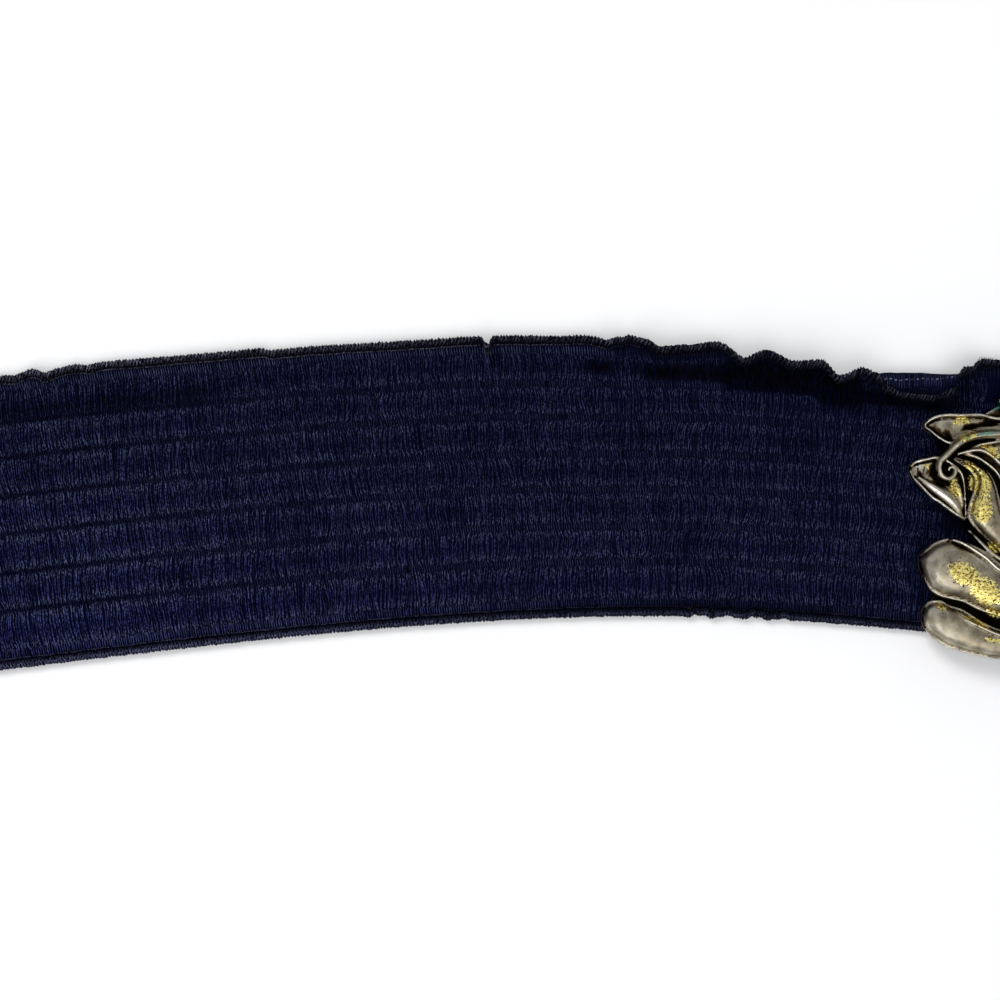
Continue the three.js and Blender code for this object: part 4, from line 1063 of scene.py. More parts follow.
# %% [markdown]
# ## The cast clasp
# Each clasp half is a casting of a soft white metal: leaves and petals that overlap, with rolled rims and
# a deep groove wherever one passes another. Sculpting would do, but a table of sections along each leaf
# keeps it measured. Each leaf is lofted by itself, all are melted together by a voxel remesh, as the
# metal was in the mould, and a little smoothing rounds the edges as tumbling does.

# %% Sizes of the clasp, and its leaves
CLASP_HEIGHT = 36.44  # from the lower edge of the elastic up to the middle of the clasp
CASTING_BACK = 5.9
WEB_THICKNESS = 1.1
SEAM_GAP = 0.2
BAR_LENGTH = 70.6
EAR_GRIP = 2.3
EAR_WALL = 0.9
PLATE_THICKNESS = 1.2
RIVET_DIAMETER = 2.6
RIVET_HEAD = 4.4
RIVET_HEAD_HEIGHT = 0.8
RIVET_FROM_SEAM = 7.5
HOOK_RIVET_SPACING = 12.0
KEEPER_RIVET_SPACING = 41.0
# Sections along each leaf: x and y of one side, x and y of the other, height of its underside, height of its
# crest. The seam is x = 0, the belt is towards -x, and y = 0 is mid-height.
LEAVES = {
    "crest_petal": ("ridge", [
        (-33.3, 24.7, -32.7, 23.3, 5.9, 8.4), (-30.1, 27.8, -27.5, 24.0, 5.9, 10.0),
        (-26.3, 33.4, -21.7, 26.6, 5.9, 10.9), (-18.3, 38.3, -16.7, 28.5, 5.9, 11.1),
        (-1.1, 38.5, -0.9, 29.3, 5.9, 10.4),
    ]),
    "tip_leaf": ("dished", [
        (-51.5, 17.3, -51.2, 15.8, 4.8, 7.8), (-50.7, 18.3, -50.1, 15.1, 4.8, 8.8),
        (-49.0, 19.4, -48.0, 13.5, 4.9, 9.4), (-46.1, 20.1, -44.9, 12.2, 4.9, 9.8),
        (-42.6, 20.3, -42.2, 14.0, 5.4, 9.9), (-38.0, 20.7, -37.8, 15.7, 5.9, 9.6),
        (-32.5, 20.3, -32.2, 16.4, 5.9, 9.4), (-14.9, 28.5, -13.1, 21.9, 5.9, 9.0),
        (-1.4, 30.1, -0.6, 22.9, 5.9, 9.0),
    ]),
    "tip_fold": ("ridge", [
        (-46.0, 12.4, -45.3, 11.7, 6.4, 8.6), (-44.5, 14.5, -43.4, 13.1, 6.4, 9.2),
        (-41.5, 16.3, -40.7, 14.6, 6.4, 9.4), (-37.8, 17.6, -37.4, 15.9, 6.4, 9.3),
        (-32.7, 18.5, -32.4, 16.7, 6.4, 9.2), (-14.7, 24.4, -14.3, 22.4, 6.4, 9.2),
        (-1.1, 25.4, -0.9, 23.4, 6.4, 9.2),
    ]),
    "beak_leaf": ("dished", [
        (-54.0, 6.6, -54.1, 4.5, 4.8, 7.4), (-53.3, 7.5, -53.4, 2.8, 4.8, 8.6),
        (-50.5, 8.5, -52.0, 1.2, 4.8, 9.6), (-47.6, 9.1, -48.8, -1.8, 4.8, 10.2),
        (-44.3, 7.8, -46.8, -2.9, 4.8, 10.3), (-41.6, 5.5, -44.9, -4.1, 4.9, 10.1),
        (-40.4, 1.8, -42.1, -5.7, 5.1, 9.7), (-39.6, -2.8, -40.4, -6.4, 5.4, 9.0),
        (-39.1, -6.0, -39.4, -6.8, 5.6, 8.2),
    ]),
    "beak_core": ("ridge", [
        (-43.4, 3.4, -44.1, 2.6, 6.4, 8.8), (-41.6, 2.9, -43.6, 1.3, 6.4, 9.4),
        (-40.5, 0.9, -43.1, -0.1, 6.4, 9.6), (-40.1, -1.5, -41.8, -2.1, 6.4, 9.3),
        (-39.9, -3.7, -40.7, -4.0, 6.4, 8.8),
    ]),
    "beak_facet": ("ridge", [
        (-51.9, 3.8, -52.5, 3.0, 6.0, 8.8), (-49.3, 2.8, -50.6, 1.0, 6.0, 9.8),
        (-46.3, 1.7, -48.2, -0.9, 6.0, 10.2), (-43.4, 0.6, -45.8, -2.6, 6.0, 10.3),
        (-41.2, -1.8, -43.4, -4.2, 6.0, 9.9), (-40.0, -5.1, -40.9, -6.0, 6.0, 8.8),
    ]),
    "inner_leaf": ("dished", [
        (-42.1, 10.7, -41.9, 10.1, 5.9, 8.6), (-40.2, 11.7, -40.4, 9.7, 5.9, 9.2),
        (-37.7, 13.1, -37.8, 9.0, 5.9, 9.7), (-34.8, 13.9, -35.1, 7.5, 5.9, 9.9),
        (-32.1, 14.4, -32.8, 5.7, 5.9, 9.9), (-27.4, 12.7, -30.1, 1.8, 5.9, 9.8),
        (-11.8, -0.3, -17.4, -8.5, 5.9, 9.6), (1.3, -7.1, -3.3, -15.9, 5.9, 9.2),
    ]),
    "inner_ridge": ("ridge", [
        (-42.9, 10.4, -42.6, 9.6, 6.4, 8.8), (-40.5, 11.5, -40.2, 10.3, 6.4, 9.8),
        (-37.4, 12.1, -37.6, 10.7, 6.4, 10.3), (-34.3, 10.9, -35.0, 9.7, 6.4, 10.4),
        (-31.5, 8.8, -32.4, 7.7, 6.4, 10.4), (-20.0, 1.6, -21.0, 0.4, 6.4, 10.3),
        (-11.5, -5.8, -12.5, -7.0, 6.4, 10.2), (-0.6, -12.9, -1.4, -14.3, 6.4, 9.8),
    ]),
    "broad_leaf": ("lobe", [
        (-42.7, 9.5, -43.6, 8.4, 5.9, 8.8), (-40.3, 8.8, -41.6, 7.3, 5.9, 9.8),
        (-37.3, 8.0, -39.5, 6.0, 5.9, 10.4), (-34.2, 6.1, -38.0, 4.0, 5.9, 10.6),
        (-32.3, 3.3, -37.9, 1.7, 5.9, 10.7), (-31.2, 0.4, -38.4, -0.4, 5.9, 10.7),
        (-30.0, -3.3, -39.1, -3.2, 5.9, 10.7), (-27.9, -7.0, -38.5, -6.5, 5.9, 10.6),
        (-25.1, -9.8, -36.3, -8.9, 5.9, 10.5), (-21.6, -12.6, -32.8, -11.8, 5.9, 10.4),
        (-15.8, -14.7, -19.2, -22.5, 5.9, 10.1), (0.0, -20.0, -2.0, -27.0, 5.9, 9.6),
    ]),
    "gap_fold": ("ridge", [
        (-38.0, -8.8, -38.6, -9.3, 6.0, 8.2), (-35.9, -10.4, -36.9, -11.4, 6.0, 9.0),
        (-33.3, -12.6, -34.3, -13.9, 6.0, 9.4), (-29.6, -15.1, -30.5, -16.4, 6.0, 9.4),
        (-19.2, -18.7, -19.8, -20.5, 6.0, 9.4), (-0.8, -23.3, -1.2, -25.1, 6.0, 9.0),
    ]),
    "arch_scroll": ("ridge", [
        (-45.5, 5.6, -44.7, 5.3, 8.6, 10.0), (-45.2, 6.6, -44.5, 6.0, 8.6, 10.2),
        (-43.9, 7.1, -44.2, 6.1, 8.6, 10.4), (-42.9, 5.9, -44.0, 5.7, 8.6, 10.6),
        (-43.2, 4.0, -44.3, 4.8, 8.4, 10.8), (-45.1, 2.8, -45.2, 4.3, 8.0, 11.0),
        (-47.4, 3.6, -46.2, 4.8, 7.6, 11.1),
        (-48.5, 5.7, -46.7, 6.1, 7.2, 11.2), (-48.3, 8.1, -46.5, 7.4, 7.0, 11.3),
        (-47.2, 9.7, -45.6, 8.4, 7.0, 11.5), (-45.8, 11.3, -44.4, 9.9, 7.0, 11.6),
        (-44.2, 13.0, -42.9, 11.5, 7.0, 11.8), (-41.3, 15.1, -40.4, 13.2, 7.0, 11.9),
        (-37.7, 16.3, -37.2, 14.1, 7.0, 12.0), (-33.2, 16.8, -33.3, 14.5, 7.0, 11.9),
        (-18.3, 16.4, -18.7, 13.6, 7.0, 11.8), (-8.1, 14.0, -9.9, 10.0, 7.0, 11.2),
        (0.7, 10.5, -2.7, 4.5, 7.0, 10.6),
    ]),
    "big_lobe": ("lobe", [
        (-49.8, -16.3, -49.7, -18.8, 4.7, 8.0), (-48.7, -14.8, -48.8, -21.6, 4.7, 10.0),
        (-46.5, -12.6, -47.3, -24.5, 4.7, 11.4), (-43.1, -11.3, -44.8, -26.3, 4.8, 12.0),
        (-40.2, -11.8, -41.6, -27.0, 4.9, 12.3), (-37.2, -12.5, -38.5, -27.5, 5.4, 12.4),
        (-34.1, -13.9, -34.4, -29.2, 5.9, 12.4), (-29.7, -16.8, -29.7, -30.3, 5.9, 12.2),
        (-17.9, -20.7, -20.1, -32.5, 5.9, 11.8), (-0.4, -24.8, -1.6, -33.2, 5.9, 10.6),
    ]),
    "lobe_fold": ("ridge", [
        (-42.9, -11.4, -43.2, -12.1, 8.0, 11.0), (-40.6, -11.9, -41.0, -12.9, 8.0, 12.0),
        (-37.8, -13.2, -38.3, -14.3, 8.0, 12.4), (-34.3, -15.2, -35.0, -16.2, 8.0, 12.5),
        (-30.5, -18.0, -31.2, -19.0, 8.0, 12.4), (-17.8, -21.9, -18.2, -23.3, 8.0, 12.0),
        (-0.8, -25.6, -1.2, -27.2, 8.0, 10.8),
    ]),
    "low_lobe": ("lobe", [
        (-47.9, -30.3, -47.9, -33.0, 4.7, 7.6), (-47.5, -28.7, -47.0, -35.4, 4.7, 9.3),
        (-46.3, -27.5, -44.9, -37.2, 4.7, 10.4), (-43.7, -27.3, -41.9, -39.0, 4.9, 11.0),
        (-41.8, -28.2, -39.4, -39.7, 5.2, 11.2), (-38.8, -28.9, -36.5, -40.4, 5.4, 11.3),
        (-35.8, -30.4, -33.5, -40.8, 5.9, 11.3), (-32.8, -32.0, -30.9, -41.2, 5.9, 11.2),
        (-28.4, -33.4, -27.0, -41.3, 5.9, 11.1), (-12.0, -34.5, -12.0, -42.7, 5.9, 11.0),
        (-1.4, -33.6, -0.6, -41.2, 5.9, 10.4),
    ]),
    "low_lobe_lip": ("ridge", [
        (-40.0, -30.3, -40.3, -31.0, 7.0, 10.4), (-37.3, -31.4, -37.8, -32.5, 7.0, 11.3),
        (-33.8, -32.7, -34.2, -33.9, 7.0, 11.6), (-29.1, -34.2, -29.5, -35.4, 7.0, 11.6),
        (-16.0, -35.5, -16.0, -36.9, 7.0, 11.4), (-1.0, -34.5, -1.0, -35.9, 7.0, 10.8),
    ]),
    "seam_rib": ("ridge", [
        (-0.2, 37.6, -3.2, 37.6, 5.9, 10.2), (-0.2, 0.0, -3.2, 0.0, 5.9, 11.2),
        (-0.2, -40.6, -3.2, -40.6, 5.9, 10.2),
    ]),
}
WEB_OUTLINE = [
    (-SEAM_GAP, 36.8), (-18.5, 37.2), (-25, 31), (-32, 23.5), (-38, 19.5), (-47.5, 17.4),
    (-45.6, 13), (-46, 9.5), (-50.5, 6.4), (-51.5, 4.6), (-47, -1.2), (-41, -5),
    (-38.6, -6.5), (-34.4, -13), (-43, -13.8), (-47.6, -18.8), (-45.6, -26), (-46.4, -31),
    (-44.6, -35.4), (-38.4, -38), (-26, -39.6), (-SEAM_GAP, -39.8),
]
print(len(LEAVES), "leaves and ribs in a casting")


# %% Cross-sections of the leaves
RIM = 0.7  # half the width of a rolled rim
RIM_OUT = 0.25  # how far the rim's outer side is cut off
DISH_FROM, DISH_SLOPE = 1.15, 1.2  # where a dished floor starts, in rims, and how long it rises
DISH_LOW, DISH_RISE = 0.08, 0.56  # height of that floor at the rim, and how much more in the middle
LOBE_RIM = 0.9  # how far in from its edge a lobe's body starts, behind a low rim
LOBE_LOW, LOBE_RISE = 0.34, 0.62  # height of a lobe's body at its foot, and how much more in the middle
LOBE_FULL, LOBE_FLAT = 3.0, 0.55  # powers that make the body rise steeply and stay flat on top
LOBE_RIM_HEIGHT, LOBE_RIM_OUT = 0.5, 0.15


def bead(inward, half):
    """A round bead along an edge, 1 at its middle, for a distance inward from the edge."""
    return np.sqrt(np.clip(1 - ((inward - half) / half) ** 2, 0, 1))


def section_height(kind, v, half):
    """Height of a leaf's face as a part of its full height, from one side, v = -1, to the other, v = 1."""
    inward = (1 - np.abs(v)) * half
    if kind == "ridge":
        return np.sqrt(np.clip(1 - v * v, 0, 1))
    if kind == "dished":
        floor = np.clip((inward - DISH_FROM * RIM) / DISH_SLOPE, 0, 1)
        return np.maximum(bead(inward + RIM_OUT, RIM), DISH_LOW + DISH_RISE * np.sqrt(floor * (2 - floor)))
    body = np.clip(inward - LOBE_RIM, 0, None) / (half - LOBE_RIM)
    swell = np.clip(1 - (1 - body) ** LOBE_FULL, 0, 1) ** LOBE_FLAT
    low_rim = LOBE_RIM_HEIGHT * bead(inward + LOBE_RIM_OUT, LOBE_RIM / 2 + LOBE_RIM_OUT)
    return np.maximum(low_rim, (LOBE_LOW + LOBE_RISE * swell) * (inward > LOBE_RIM))


v = np.linspace(-1, 1, 9)
print("a dished leaf 8 mm wide, across:", section_height("dished", v, 4.0).round(2))


# %% A smooth line through a leaf's rows
def through(rows, steps):
    """Points on a smooth line through the rows, steps to each pair, by a centripetal Catmull-Rom spline."""
    p = np.array(rows, float)
    p = np.concatenate([[2 * p[0] - p[1]], p, [2 * p[-1] - p[-2]]])
    middles = (p[:, :2] + p[:, 2:4]) / 2
    gap = np.maximum(np.linalg.norm(np.diff(middles, axis=0), axis=1) ** 0.5, 1e-6)
    line = []
    for i in range(1, len(p) - 2):
        a, b, c = gap[i - 1], gap[i], gap[i + 1]
        start = ((p[i] - p[i - 1]) / a - (p[i + 1] - p[i - 1]) / (a + b) + (p[i + 1] - p[i]) / b) * b
        end = ((p[i + 1] - p[i]) / b - (p[i + 2] - p[i]) / (b + c) + (p[i + 2] - p[i + 1]) / c) * b
        for t in np.arange(steps) / steps:
            line.append(
                (2 * t**3 - 3 * t**2 + 1) * p[i]
                + (t**3 - 2 * t**2 + t) * start
                + (3 * t**2 - 2 * t**3) * p[i + 1]
                + (t**3 - t**2) * end
            )
    return np.array([*line, p[-2]])


print("a line through 5 rows has", len(through(LEAVES["crest_petal"][1], 10)), "points")

# %% Lofting one leaf
LEAF_STEPS = 10
LEAF_ACROSS = 49
LEAF_SIDE = {"ridge": 0.3, "dished": 0.25, "lobe": 0.12}  # part of the height that the upright side takes
LEAF_FOOT = np.array([0.8, -0.8])  # the back's two corners, as parts of half the width


def leaf_rings(kind, rows):
    """Rings of points round a leaf, from its tip to its end: the face, then two corners at the back."""
    v = np.linspace(-1, 1, LEAF_ACROSS)
    rings = []
    for ax, ay, bx, by, base, crest in through(rows, LEAF_STEPS):
        half = math.hypot(bx - ax, by - ay) / 2
        side = base + (crest - base) * LEAF_SIDE[kind]
        face = side + (crest - side) * section_height(kind, v, half)
        across = np.concatenate([v, LEAF_FOOT])
        height = np.concatenate([face, [base, base]])
        x, y = (ax + bx) / 2 + (bx - ax) / 2 * across, (ay + by) / 2 + (by - ay) / 2 * across
        rings.append(np.stack([x, y, height], axis=-1))
    return rings


print("a leaf has", len(leaf_rings(*LEAVES["tip_leaf"])), "rings")

# %% [markdown]
# ## The back of a casting
# Behind the leaves a thin web ties them together. Two ears hold the ends of the bar that the elastic is
# folded round, and two rivets hold the steel hook or keeper. They go into the same melt. The bar's holes
# are cut out of the ears first, with a Boolean modifier, which is the one clean way to drill in a mesh.


# %% Web, ears and rivets
def scratch_object(name, shape):
    """An object of a bmesh, which is used up."""
    mesh = bpy.data.meshes.new(name)
    shape.to_mesh(mesh)
    shape.free()
    return linked(name, mesh)


def with_modifiers(made):
    """The object's mesh as its modifiers leave it. The object itself is removed."""
    seen = made.evaluated_get(bpy.context.evaluated_depsgraph_get())
    mesh = bpy.data.meshes.new_from_object(seen)
    bpy.data.objects.remove(made)
    return mesh


def prism(shape, low_corners, high_corners):
    """Adds a closed solid between two rings of corners to a bmesh, in millimetres."""
    low, high = [
        [shape.verts.new(np.array(corner) * MM) for corner in ring] for ring in (low_corners, high_corners)
    ]
    for i in range(len(low)):
        j = (i + 1) % len(low)
        shape.faces.new((low[i], low[j], high[j], high[i]))
    shape.faces.new(low[::-1])
    shape.faces.new(high)


def cylinder_between(shape, start, end, radius, sides=32):
    """Adds a closed cylinder to a bmesh, in millimetres."""
    start, end = np.array(start, float), np.array(end, float)
    axis = (end - start) / np.linalg.norm(end - start)
    side = np.cross(axis, [0, 0, 1] if abs(axis[2]) < 0.9 else [1, 0, 0])
    side /= np.linalg.norm(side)
    up = np.cross(axis, side)
    angles = np.arange(sides) * 2 * np.pi / sides
    rim = radius * (np.cos(angles)[:, None] * side + np.sin(angles)[:, None] * up)
    prism(shape, start + rim, end + rim)


def box_between(shape, low, high):
    """Adds a box between two opposite corners to a bmesh, in millimetres."""
    corners = bmesh.ops.create_cube(shape, size=1.0)["verts"]
    for corner in corners:
        corner.co = [(a + b) / 2 * MM + c * (b - a) * MM for a, b, c in zip(low, high, corner.co)]


BAR_HEIGHT = FLAT_THICKNESS + CLEARANCE + BAR_DIAMETER / 2
HOLE_RADIUS = BAR_DIAMETER / 2 + CLEARANCE
EAR_REACH = HOLE_RADIUS + EAR_WALL


def ear(side):
    """A cast ear with a blind hole for one end of the bar."""
    inner = side * (BAR_LENGTH / 2 - EAR_GRIP)
    hole_end = side * (BAR_LENGTH / 2 + CLEARANCE)
    outer = hole_end + side * EAR_WALL
    block = bmesh.new()
    box_between(
        block,
        (-BAR_FROM_SEAM - EAR_REACH, min(inner, outer), BAR_HEIGHT - EAR_REACH),
        (-BAR_FROM_SEAM + EAR_REACH, max(inner, outer), CASTING_BACK + WEB_THICKNESS),
    )
    drill = bmesh.new()
    cylinder_between(
        drill,
        (-BAR_FROM_SEAM, inner - side * EAR_GRIP, BAR_HEIGHT),
        (-BAR_FROM_SEAM, hole_end, BAR_HEIGHT),
        HOLE_RADIUS,
    )
    solid, tool = scratch_object("ear", block), scratch_object("drill", drill)
    cut = solid.modifiers.new("hole", "BOOLEAN")
    cut.operation = "DIFFERENCE"
    cut.object = tool
    bpy.context.view_layer.update()
    mesh = with_modifiers(solid)
    bpy.data.objects.remove(tool)
    return mesh


STEM_INTO_WEB, STEM_INTO_HEAD = 0.5, 0.1  # how far a rivet's stem runs into what it joins


def rivets(shape, spacing):
    """Adds two rivets that hold the steel plate against the web."""
    head_top = CASTING_BACK - PLATE_THICKNESS - 2 * CLEARANCE
    stem = (head_top - STEM_INTO_HEAD, CASTING_BACK + STEM_INTO_WEB, RIVET_DIAMETER / 2)
    head = (head_top - RIVET_HEAD_HEIGHT, head_top, RIVET_HEAD / 2)
    for y in (-spacing / 2, spacing / 2):
        for low, high, radius in (stem, head):
            cylinder_between(shape, (-RIVET_FROM_SEAM, y, low), (-RIVET_FROM_SEAM, y, high), radius)


def web(shape):
    """Adds the thin plate behind the leaves."""
    levels = (CASTING_BACK, CASTING_BACK + WEB_THICKNESS)
    prism(shape, *[[(x, y, z) for x, y in WEB_OUTLINE] for z in levels])


print("bar holes", 2 * HOLE_RADIUS, "mm wide,", BAR_HEIGHT, "mm up")

# %% [markdown]
# ## Melting the leaves together
# The remesh turns overlapping shapes into one skin of even small faces. It runs at 0.25 mm, fine enough
# for the rims, and a decimation then spends the faces where the metal bends. Last, the seam side is cut
# flat.

# %% One casting
VOXEL = 0.25
CASTING_SHARE = 0.26  # of the remeshed faces that are kept
SMOOTH_TIMES = 2
SMOOTH_FACTOR = 0.5


def casting_mesh(rivet_spacing):
    """The metal of one clasp half, in the clasp's own frame."""
    shape = bmesh.new()
    for kind, rows in LEAVES.values():
        points, quads = lofted(leaf_rings(kind, rows))
        corners = [shape.verts.new(p * MM) for p in points]
        for face in quads:
            shape.faces.new([corners[i] for i in face])
        count = LEAF_ACROSS + len(LEAF_FOOT)
        shape.faces.new(corners[:count])
        shape.faces.new(corners[-count:][::-1])
    web(shape)
    rivets(shape, rivet_spacing)
    for side in (-1, 1):
        mesh = ear(side)
        shape.from_mesh(mesh)
        bpy.data.meshes.remove(mesh)
    bmesh.ops.recalc_face_normals(shape, faces=shape.faces)
    melt = scratch_object("melt", shape)
    voxels = melt.modifiers.new("melt", "REMESH")
    voxels.mode = "VOXEL"
    voxels.voxel_size = VOXEL * MM
    tumble = melt.modifiers.new("tumble", "SMOOTH")
    tumble.factor = SMOOTH_FACTOR
    tumble.iterations = SMOOTH_TIMES
    fewer = melt.modifiers.new("fewer", "DECIMATE")
    fewer.ratio = CASTING_SHARE
    bpy.context.view_layer.update()
    mesh = with_modifiers(melt)
    shape = bmesh.new()
    shape.from_mesh(mesh)
    everything = [*shape.verts, *shape.edges, *shape.faces]
    cut = bmesh.ops.bisect_plane(
        shape, geom=everything, plane_co=(-SEAM_GAP * MM, 0, 0), plane_no=(1, 0, 0), clear_outer=True
    )
    rim = [e for e in cut["geom_cut"] if isinstance(e, bmesh.types.BMEdge)]
    bmesh.ops.holes_fill(shape, edges=rim, sides=0)
    bmesh.ops.triangulate(shape, faces=[f for f in shape.faces if len(f.verts) > 4])
    shape.to_mesh(mesh)
    shape.free()
    return mesh


# %% [markdown]
# ## Where the dark stays
# Antiqued metal is dipped in a dark bath and then polished, so the dark stays in the hollows. The mesh
# can say where those are in two ways: fine grooves lie below the average of their close neighbours, and
# wide recesses see less of the sky past the relief around them. What stands above its neighbours is
# rubbed bright in the same way. The gold wash was dabbed on by hand, and handling left its own stains, so
# those are listed in the clasp's frame, with a few edges and slopes that get a painted highlight and one
# narrow gap between leaves that gets painted shade.


# %% Hollows of a mesh
def mesh_arrays(mesh):
    """The points of a mesh in millimetres, the ends of its edges, and its normals."""
    points, normals = np.zeros(len(mesh.vertices) * 3), np.zeros(len(mesh.vertices) * 3)
    edges = np.zeros(len(mesh.edges) * 2, int)
    mesh.vertices.foreach_get("co", points)
    mesh.vertices.foreach_get("normal", normals)
    mesh.edges.foreach_get("vertices", edges)
    return points.reshape(-1, 3) / MM, edges.reshape(-1, 2), normals.reshape(-1, 3)


def averaged(points, edges, times):
    """Each point pulled towards the average of its neighbours, several times."""
    ends = np.concatenate([edges[:, 0], edges[:, 1]])
    others = np.concatenate([edges[:, 1], edges[:, 0]])
    count = np.maximum(np.bincount(ends, minlength=len(points)), 1)
    for _ in range(times):
        total = np.stack([np.bincount(ends, points[others, k], len(points)) for k in range(3)], axis=-1)
        points = 0.5 * points + 0.5 * total / count[:, None]
    return points


NEAR_TIMES = 8  # how often a point is averaged with its neighbours


def grooves(mesh):
    """How deep each point lies below its close surroundings, in millimetres."""
    points, edges, normals = mesh_arrays(mesh)
    return ((averaged(points, edges, NEAR_TIMES) - points) * normals).sum(1)

# %% How much sky each point sees
CELL = 0.5  # of a map of the relief's height
DIRECTIONS = 16
REACHES = np.arange(0.6, 5.5, 0.6)  # distances at which the horizon is looked for


def sky_share(points):
    """Share of the sky that each point sees past the relief around it."""
    margin = int(REACHES[-1] / CELL) + 3
    cells = np.floor((points[:, :2] - points[:, :2].min(0)) / CELL).astype(int) + margin
    relief = np.zeros(cells.max(0) + margin + 1)
    np.maximum.at(relief, tuple(cells.T), points[:, 2])
    around = [np.roll(relief, (i, j), (0, 1)) for i in (-1, 0, 1) for j in (-1, 0, 1)]
    relief = np.where(relief > 0, relief, np.max(around, axis=0))
    seen = np.zeros(len(points))
    for angle in np.arange(DIRECTIONS) * 2 * np.pi / DIRECTIONS:
        horizon = np.zeros(len(points))
        for reach in REACHES:
            step = np.round(np.array([math.cos(angle), math.sin(angle)]) * reach / CELL).astype(int)
            rise = (relief[tuple((cells + step).T)] - points[:, 2]) / reach
            horizon = np.maximum(horizon, rise)
        seen += 1 - np.sin(np.arctan(horizon))
    return seen / DIRECTIONS


# %% Patches of gold wash and of green copper salt
# x and y in the clasp's frame, half its length and half its width, and how its length is turned, in degrees
GOLD_PATCHES = [
    (-42.4, 18.3, 2.9, 1.3, 12), (-41.0, 14.4, 3.1, 1.0, 28), (-33.9, 11.1, 2.9, 1.8, -30),
    (-50.3, 6.1, 1.3, 1.0, 4), (-42.8, 1.1, 1.6, 2.9, 14), (-39.2, 7.2, 2.3, 1.3, -36),
    (-36.4, 2.9, 4.2, 2.9, -78), (-35.9, -3.7, 4.2, 3.0, -70), (-39.7, -20.2, 5.2, 3.3, -26),
    (-34.0, -24.2, 5.4, 3.9, -30), (-30.6, -29.2, 3.1, 1.3, -26), (-34.9, -32.1, 4.7, 1.0, -22),
    (-30.8, -36.3, 3.1, 0.8, -8), (-44.0, -29.0, 1.6, 1.0, -26), (-31.3, -12.8, 2.3, 1.3, -46),
    (-36.3, 12.5, 1.3, 0.6, -6), (-45.1, -5.0, 0.5, 0.5, 4), (-18.0, -20.0, 6.0, 1.8, -25),
    (-20.0, 4.0, 4.4, 1.8, -45), (-12.0, -6.0, 3.6, 1.8, -40), (-20.0, 31.0, 4.8, 1.6, 20),
    (-8.0, 34.0, 4.0, 1.6, 0), (-14.0, -27.6, 6.0, 1.7, -12), (-12.0, 25.0, 5.0, 1.3, 10),
    (-16.0, -38.0, 5.0, 1.3, -5),
]
# stains of oxide; the last one, at (-36.6, -11.2), is painted shade in the narrow gap between the broad leaf
# and the big lobe
OXIDE_AND_SHADE_PATCHES = [
    (-50.4, 5.4, 2.0, 1.2, 20), (-48.2, 15.6, 2.2, 1.2, -50),
    (-46.9, 15.5, 2.6, 1.2, -53), (-40.5, 17.2, 2.6, 0.9, 4), (-36.0, 18.1, 2.1, 0.8, 4),
    (-45.3, 14.1, 1.0, 0.6, -36), (-48.7, 4.7, 1.6, 0.8, 14), (-52.0, 4.9, 0.8, 1.6, 24),
    (-45.5, 2.9, 1.8, 0.8, -16), (-41.0, 0.9, 0.7, 2.6, 4), (-39.9, -3.3, 0.7, 2.3, 4),
    (-46.4, 2.0, 0.8, 0.5, 4), (-34.9, 23.7, 2.3, 2.1, 4), (-39.1, 25.2, 1.0, 1.6, 4),
    (-45.5, -16.4, 0.8, 0.5, -36), (-46.5, -17.2, 1.0, 0.4, 64), (-39.9, -16.7, 1.6, 0.6, -36),
    (-33.8, -20.1, 3.1, 0.5, -32), (-43.5, -29.4, 1.6, 0.4, -16), (-35.9, 6.4, 1.8, 0.5, -56),
    (-46.6, 6.0, 1.0, 1.6, 10), (-24.0, 26.0, 5.0, 0.8, 20), (-10.0, 8.0, 4.0, 1.0, -30),
    (-14.0, -24.0, 5.0, 0.6, -20), (-36.6, -11.2, 2.8, 0.9, -43),
]
# Edges and slopes with a painted highlight, also made glossier
HIGHLIGHT_PATCHES = [
    (-46.9, -0.6, 5.0, 0.8, -39), (-35.7, -31.5, 4.2, 0.8, -22), (-35.8, -16.0, 7.4, 0.6, -33),
    (-51.9, 6.2, 0.8, 1.6, 24), (-35.4, 14.0, 2.8, 0.6, 14),
]
GREEN_PATCHES = [(-36.6, 15.7, 3.4, 0.8, 12), (-34.6, 23.2, 2.4, 2.0, 0), (-41.3, 14.1, 1.0, 0.6, 30)]
PATCH_REACH = 1.6  # where a patch has faded out, in half sizes. It is full up to one less.


def patch_mask(points, patches):
    """1 in the middle of a patch and 0 past its soft rim."""
    mask = np.zeros(len(points))
    for x, y, half_length, half_width, turn in patches:
        c, s = math.cos(math.radians(turn)), math.sin(math.radians(turn))
        dx, dy = points[:, 0] - x, points[:, 1] - y
        a, b = (dx * c + dy * s) / half_length, (dy * c - dx * s) / half_width
        mask = np.maximum(mask, np.clip(PATCH_REACH - np.hypot(a, b), 0, 1))
    return mask


# one of the counted stains is painted shade
print(len(GOLD_PATCHES), "dabs of gold and", len(OXIDE_AND_SHADE_PATCHES), "stains of oxide")

# %% [markdown]
# ## Finish of the casting
# The metal is a pewter-coloured zinc alloy, tumbled bright and since worn cloudy, so its reflections are
# broken. Over it come, in turn, the oxide in the hollows, brown where it is thin and nearly black where
# it is deep; a gold wash that has worn through in pits; and a little green salt. Noise breaks up the rim
# of each layer, at the grain of the real wear.

